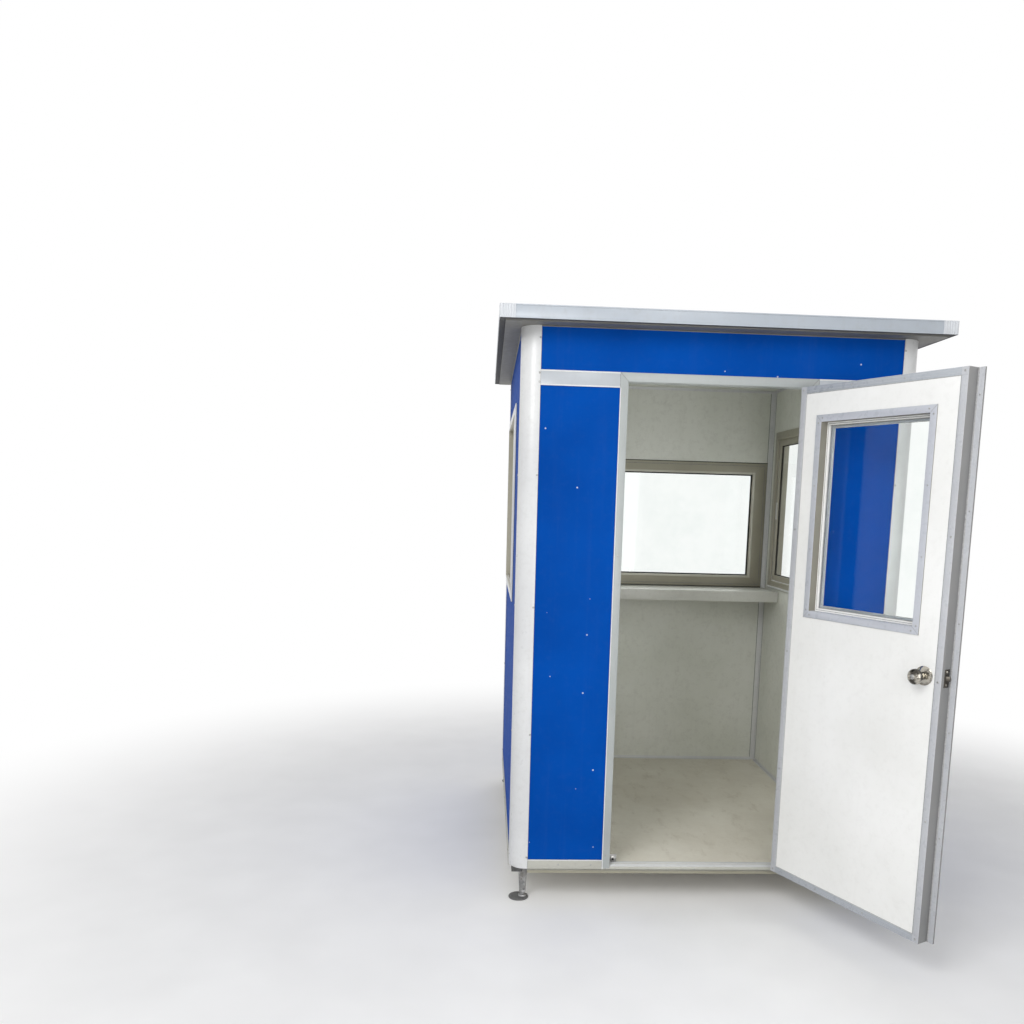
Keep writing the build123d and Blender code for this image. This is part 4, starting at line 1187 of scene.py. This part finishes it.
def levelling_feet():
    pads = Build()
    metal = Build()
    blocks = Build()
    ground = facing((0, 0, 0), (0, 0, 1), up=(0, 1, 0))
    for side in (-1, 1):
        for y, toward in ((FRONT_Y + FOOT_INSET, -1), (REAR_Y - FOOT_INSET, 1)):
            x = side * (WALL_X - FOOT_INSET)
            pads.turned(ground, (x + side * PAD_OFFSET, y), PAD, 40)
            for profile, sides, start in SHAFT:
                metal.turned(ground, (x, y), profile, sides, start)
            block = around(x + side * BLOCK_MIDDLE, y + toward * BLOCK_MIDDLE, BLOCK_HALF, BLOCK_HALF)
            blocks.block(ground, block, PANEL_Z - 3 * MM, 1.5 * MM, BODY_Z)
    look = pads.piece("foot_pads", "galvanised_steel", PAD_RUBBER)
    metal.piece("foot_screws_and_tubes", "galvanised_steel", GALVANISED)
    # The corner blocks are painted dark grey, painted shade under the body
    blocks.piece("foot_corner_blocks", "galvanised_steel", DARK_GREY)
    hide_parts("feet")


painted_highlight_beads()
drip_flanges()
ceiling_lining()
levelling_feet()
wall_screws()
window_trims()
side_window_catches()
side_window_tracks()
door_edging()
door_lip()
door_window_details()
lock_details()
hinge_screws()
doorway_details()
sealant()


# Stage, light and camera
PAPER_HALF = 30.0
PAPER_NEAR = 1.9
PAPER_FAR = 4.2


def stage():
    """A pale floor that keeps the shadow near the object and fades to white away from it."""
    mesh = bpy.data.meshes.new("stage_floor")
    builder = bmesh.new()
    bmesh.ops.create_grid(builder, x_segments=2, y_segments=2, size=PAPER_HALF)
    builder.to_mesh(mesh)
    builder.free()
    paper = linked("stage_floor", mesh)
    look = Look("stage_paper")
    base = look.fade(look.noise(3.0, 2.0), 0.3, 0.7, 0.86, 0.90)
    look.set(look.shader, Base_Color=base, Roughness=0.9, Specular_IOR_Level=0.1)
    distance = look.add("ShaderNodeVectorMath", look.place, operation="LENGTH").outputs["Value"]
    fade = look.add("ShaderNodeMapRange", interpolation_type="SMOOTHSTEP")
    look.set(fade, Value=distance, From_Min=PAPER_NEAR, From_Max=PAPER_FAR)
    white = look.add("ShaderNodeEmission", Strength=look.backdrop_level()).outputs["Emission"]
    blend = look.add("ShaderNodeMixShader", fade.outputs["Result"], look.shader.outputs["BSDF"], white)
    look.set(look.tree.nodes["Material Output"], Surface=blend.outputs["Shader"])
    mesh.materials.append(look.material)


def area_light(name, place, target, size, power):
    data = bpy.data.lights.new(name, "AREA")
    data.shape = "RECTANGLE"
    data.size, data.size_y = size
    data.energy = power
    lamp = linked(name, data)
    lamp.location = place
    lamp.rotation_euler = (Vector(target) - Vector(place)).to_track_quat("-Z", "Y").to_euler()


def lighting():
    world = bpy.data.worlds.new("soft_world")
    bpy.context.scene.world = world
    sky = Nodes(world)
    sky.set(sky.tree.nodes["Background"], Color=(1, 1, 1, 1), Strength=sky.backdrop_level())
    area_light("key", (-3.2, -4.6, 4.6), (0, 0, 1.1), (2.4, 2.4), 150)
    area_light("fill", (3.6, -4.2, 2.6), (0.2, 0, 1.1), (3.0, 3.0), 14)
    area_light("rim", (0.5, 4.5, 4.2), (0, 0, 1.2), (4.0, 2.5), 60)
    area_light("inside", (-0.1, -3.2, 1.6), (0, 1.0, 1.1), (1.6, 1.6), 22)


# Camera: lens, principal point and pose fitted to the photograph's straight edges
CAMERA_PLACE = Vector((-0.8929, -3.4561, 1.4892))
CAMERA_FOCAL_PX = 889.02
CAMERA_CENTRE_PX = (533.46, 623.21)
CAMERA_YAW = -0.0552
CAMERA_PITCH = -0.1329
CAMERA_ROLL = -0.0274
IMAGE_PX = 1024
SENSOR_MM = 36.0


def camera():
    data = bpy.data.cameras.new("photo_camera")
    data.sensor_width = SENSOR_MM
    data.sensor_fit = "HORIZONTAL"
    data.lens = CAMERA_FOCAL_PX / IMAGE_PX * SENSOR_MM
    data.shift_x = (IMAGE_PX / 2 - CAMERA_CENTRE_PX[0]) / IMAGE_PX
    data.shift_y = (CAMERA_CENTRE_PX[1] - IMAGE_PX / 2) / IMAGE_PX
    data.clip_end = 100
    result = linked("photo_camera", data)
    # The fit's camera looks along +Y with +Z up; a camera here looks along -Z with +Y up
    pose = Matrix.Translation(CAMERA_PLACE + Vector((0, FRONT_Y, BODY_Z)))
    for angle, axis in ((CAMERA_YAW, "Z"), (CAMERA_PITCH, "X"), (CAMERA_ROLL, "Y"), (math.radians(90), "X")):
        pose = pose @ Matrix.Rotation(angle, 4, axis)
    result.matrix_world = pose
    bpy.context.scene.camera = result


stage()
lighting()
camera()

scene = bpy.context.scene
scene.view_settings.view_transform = "Standard"
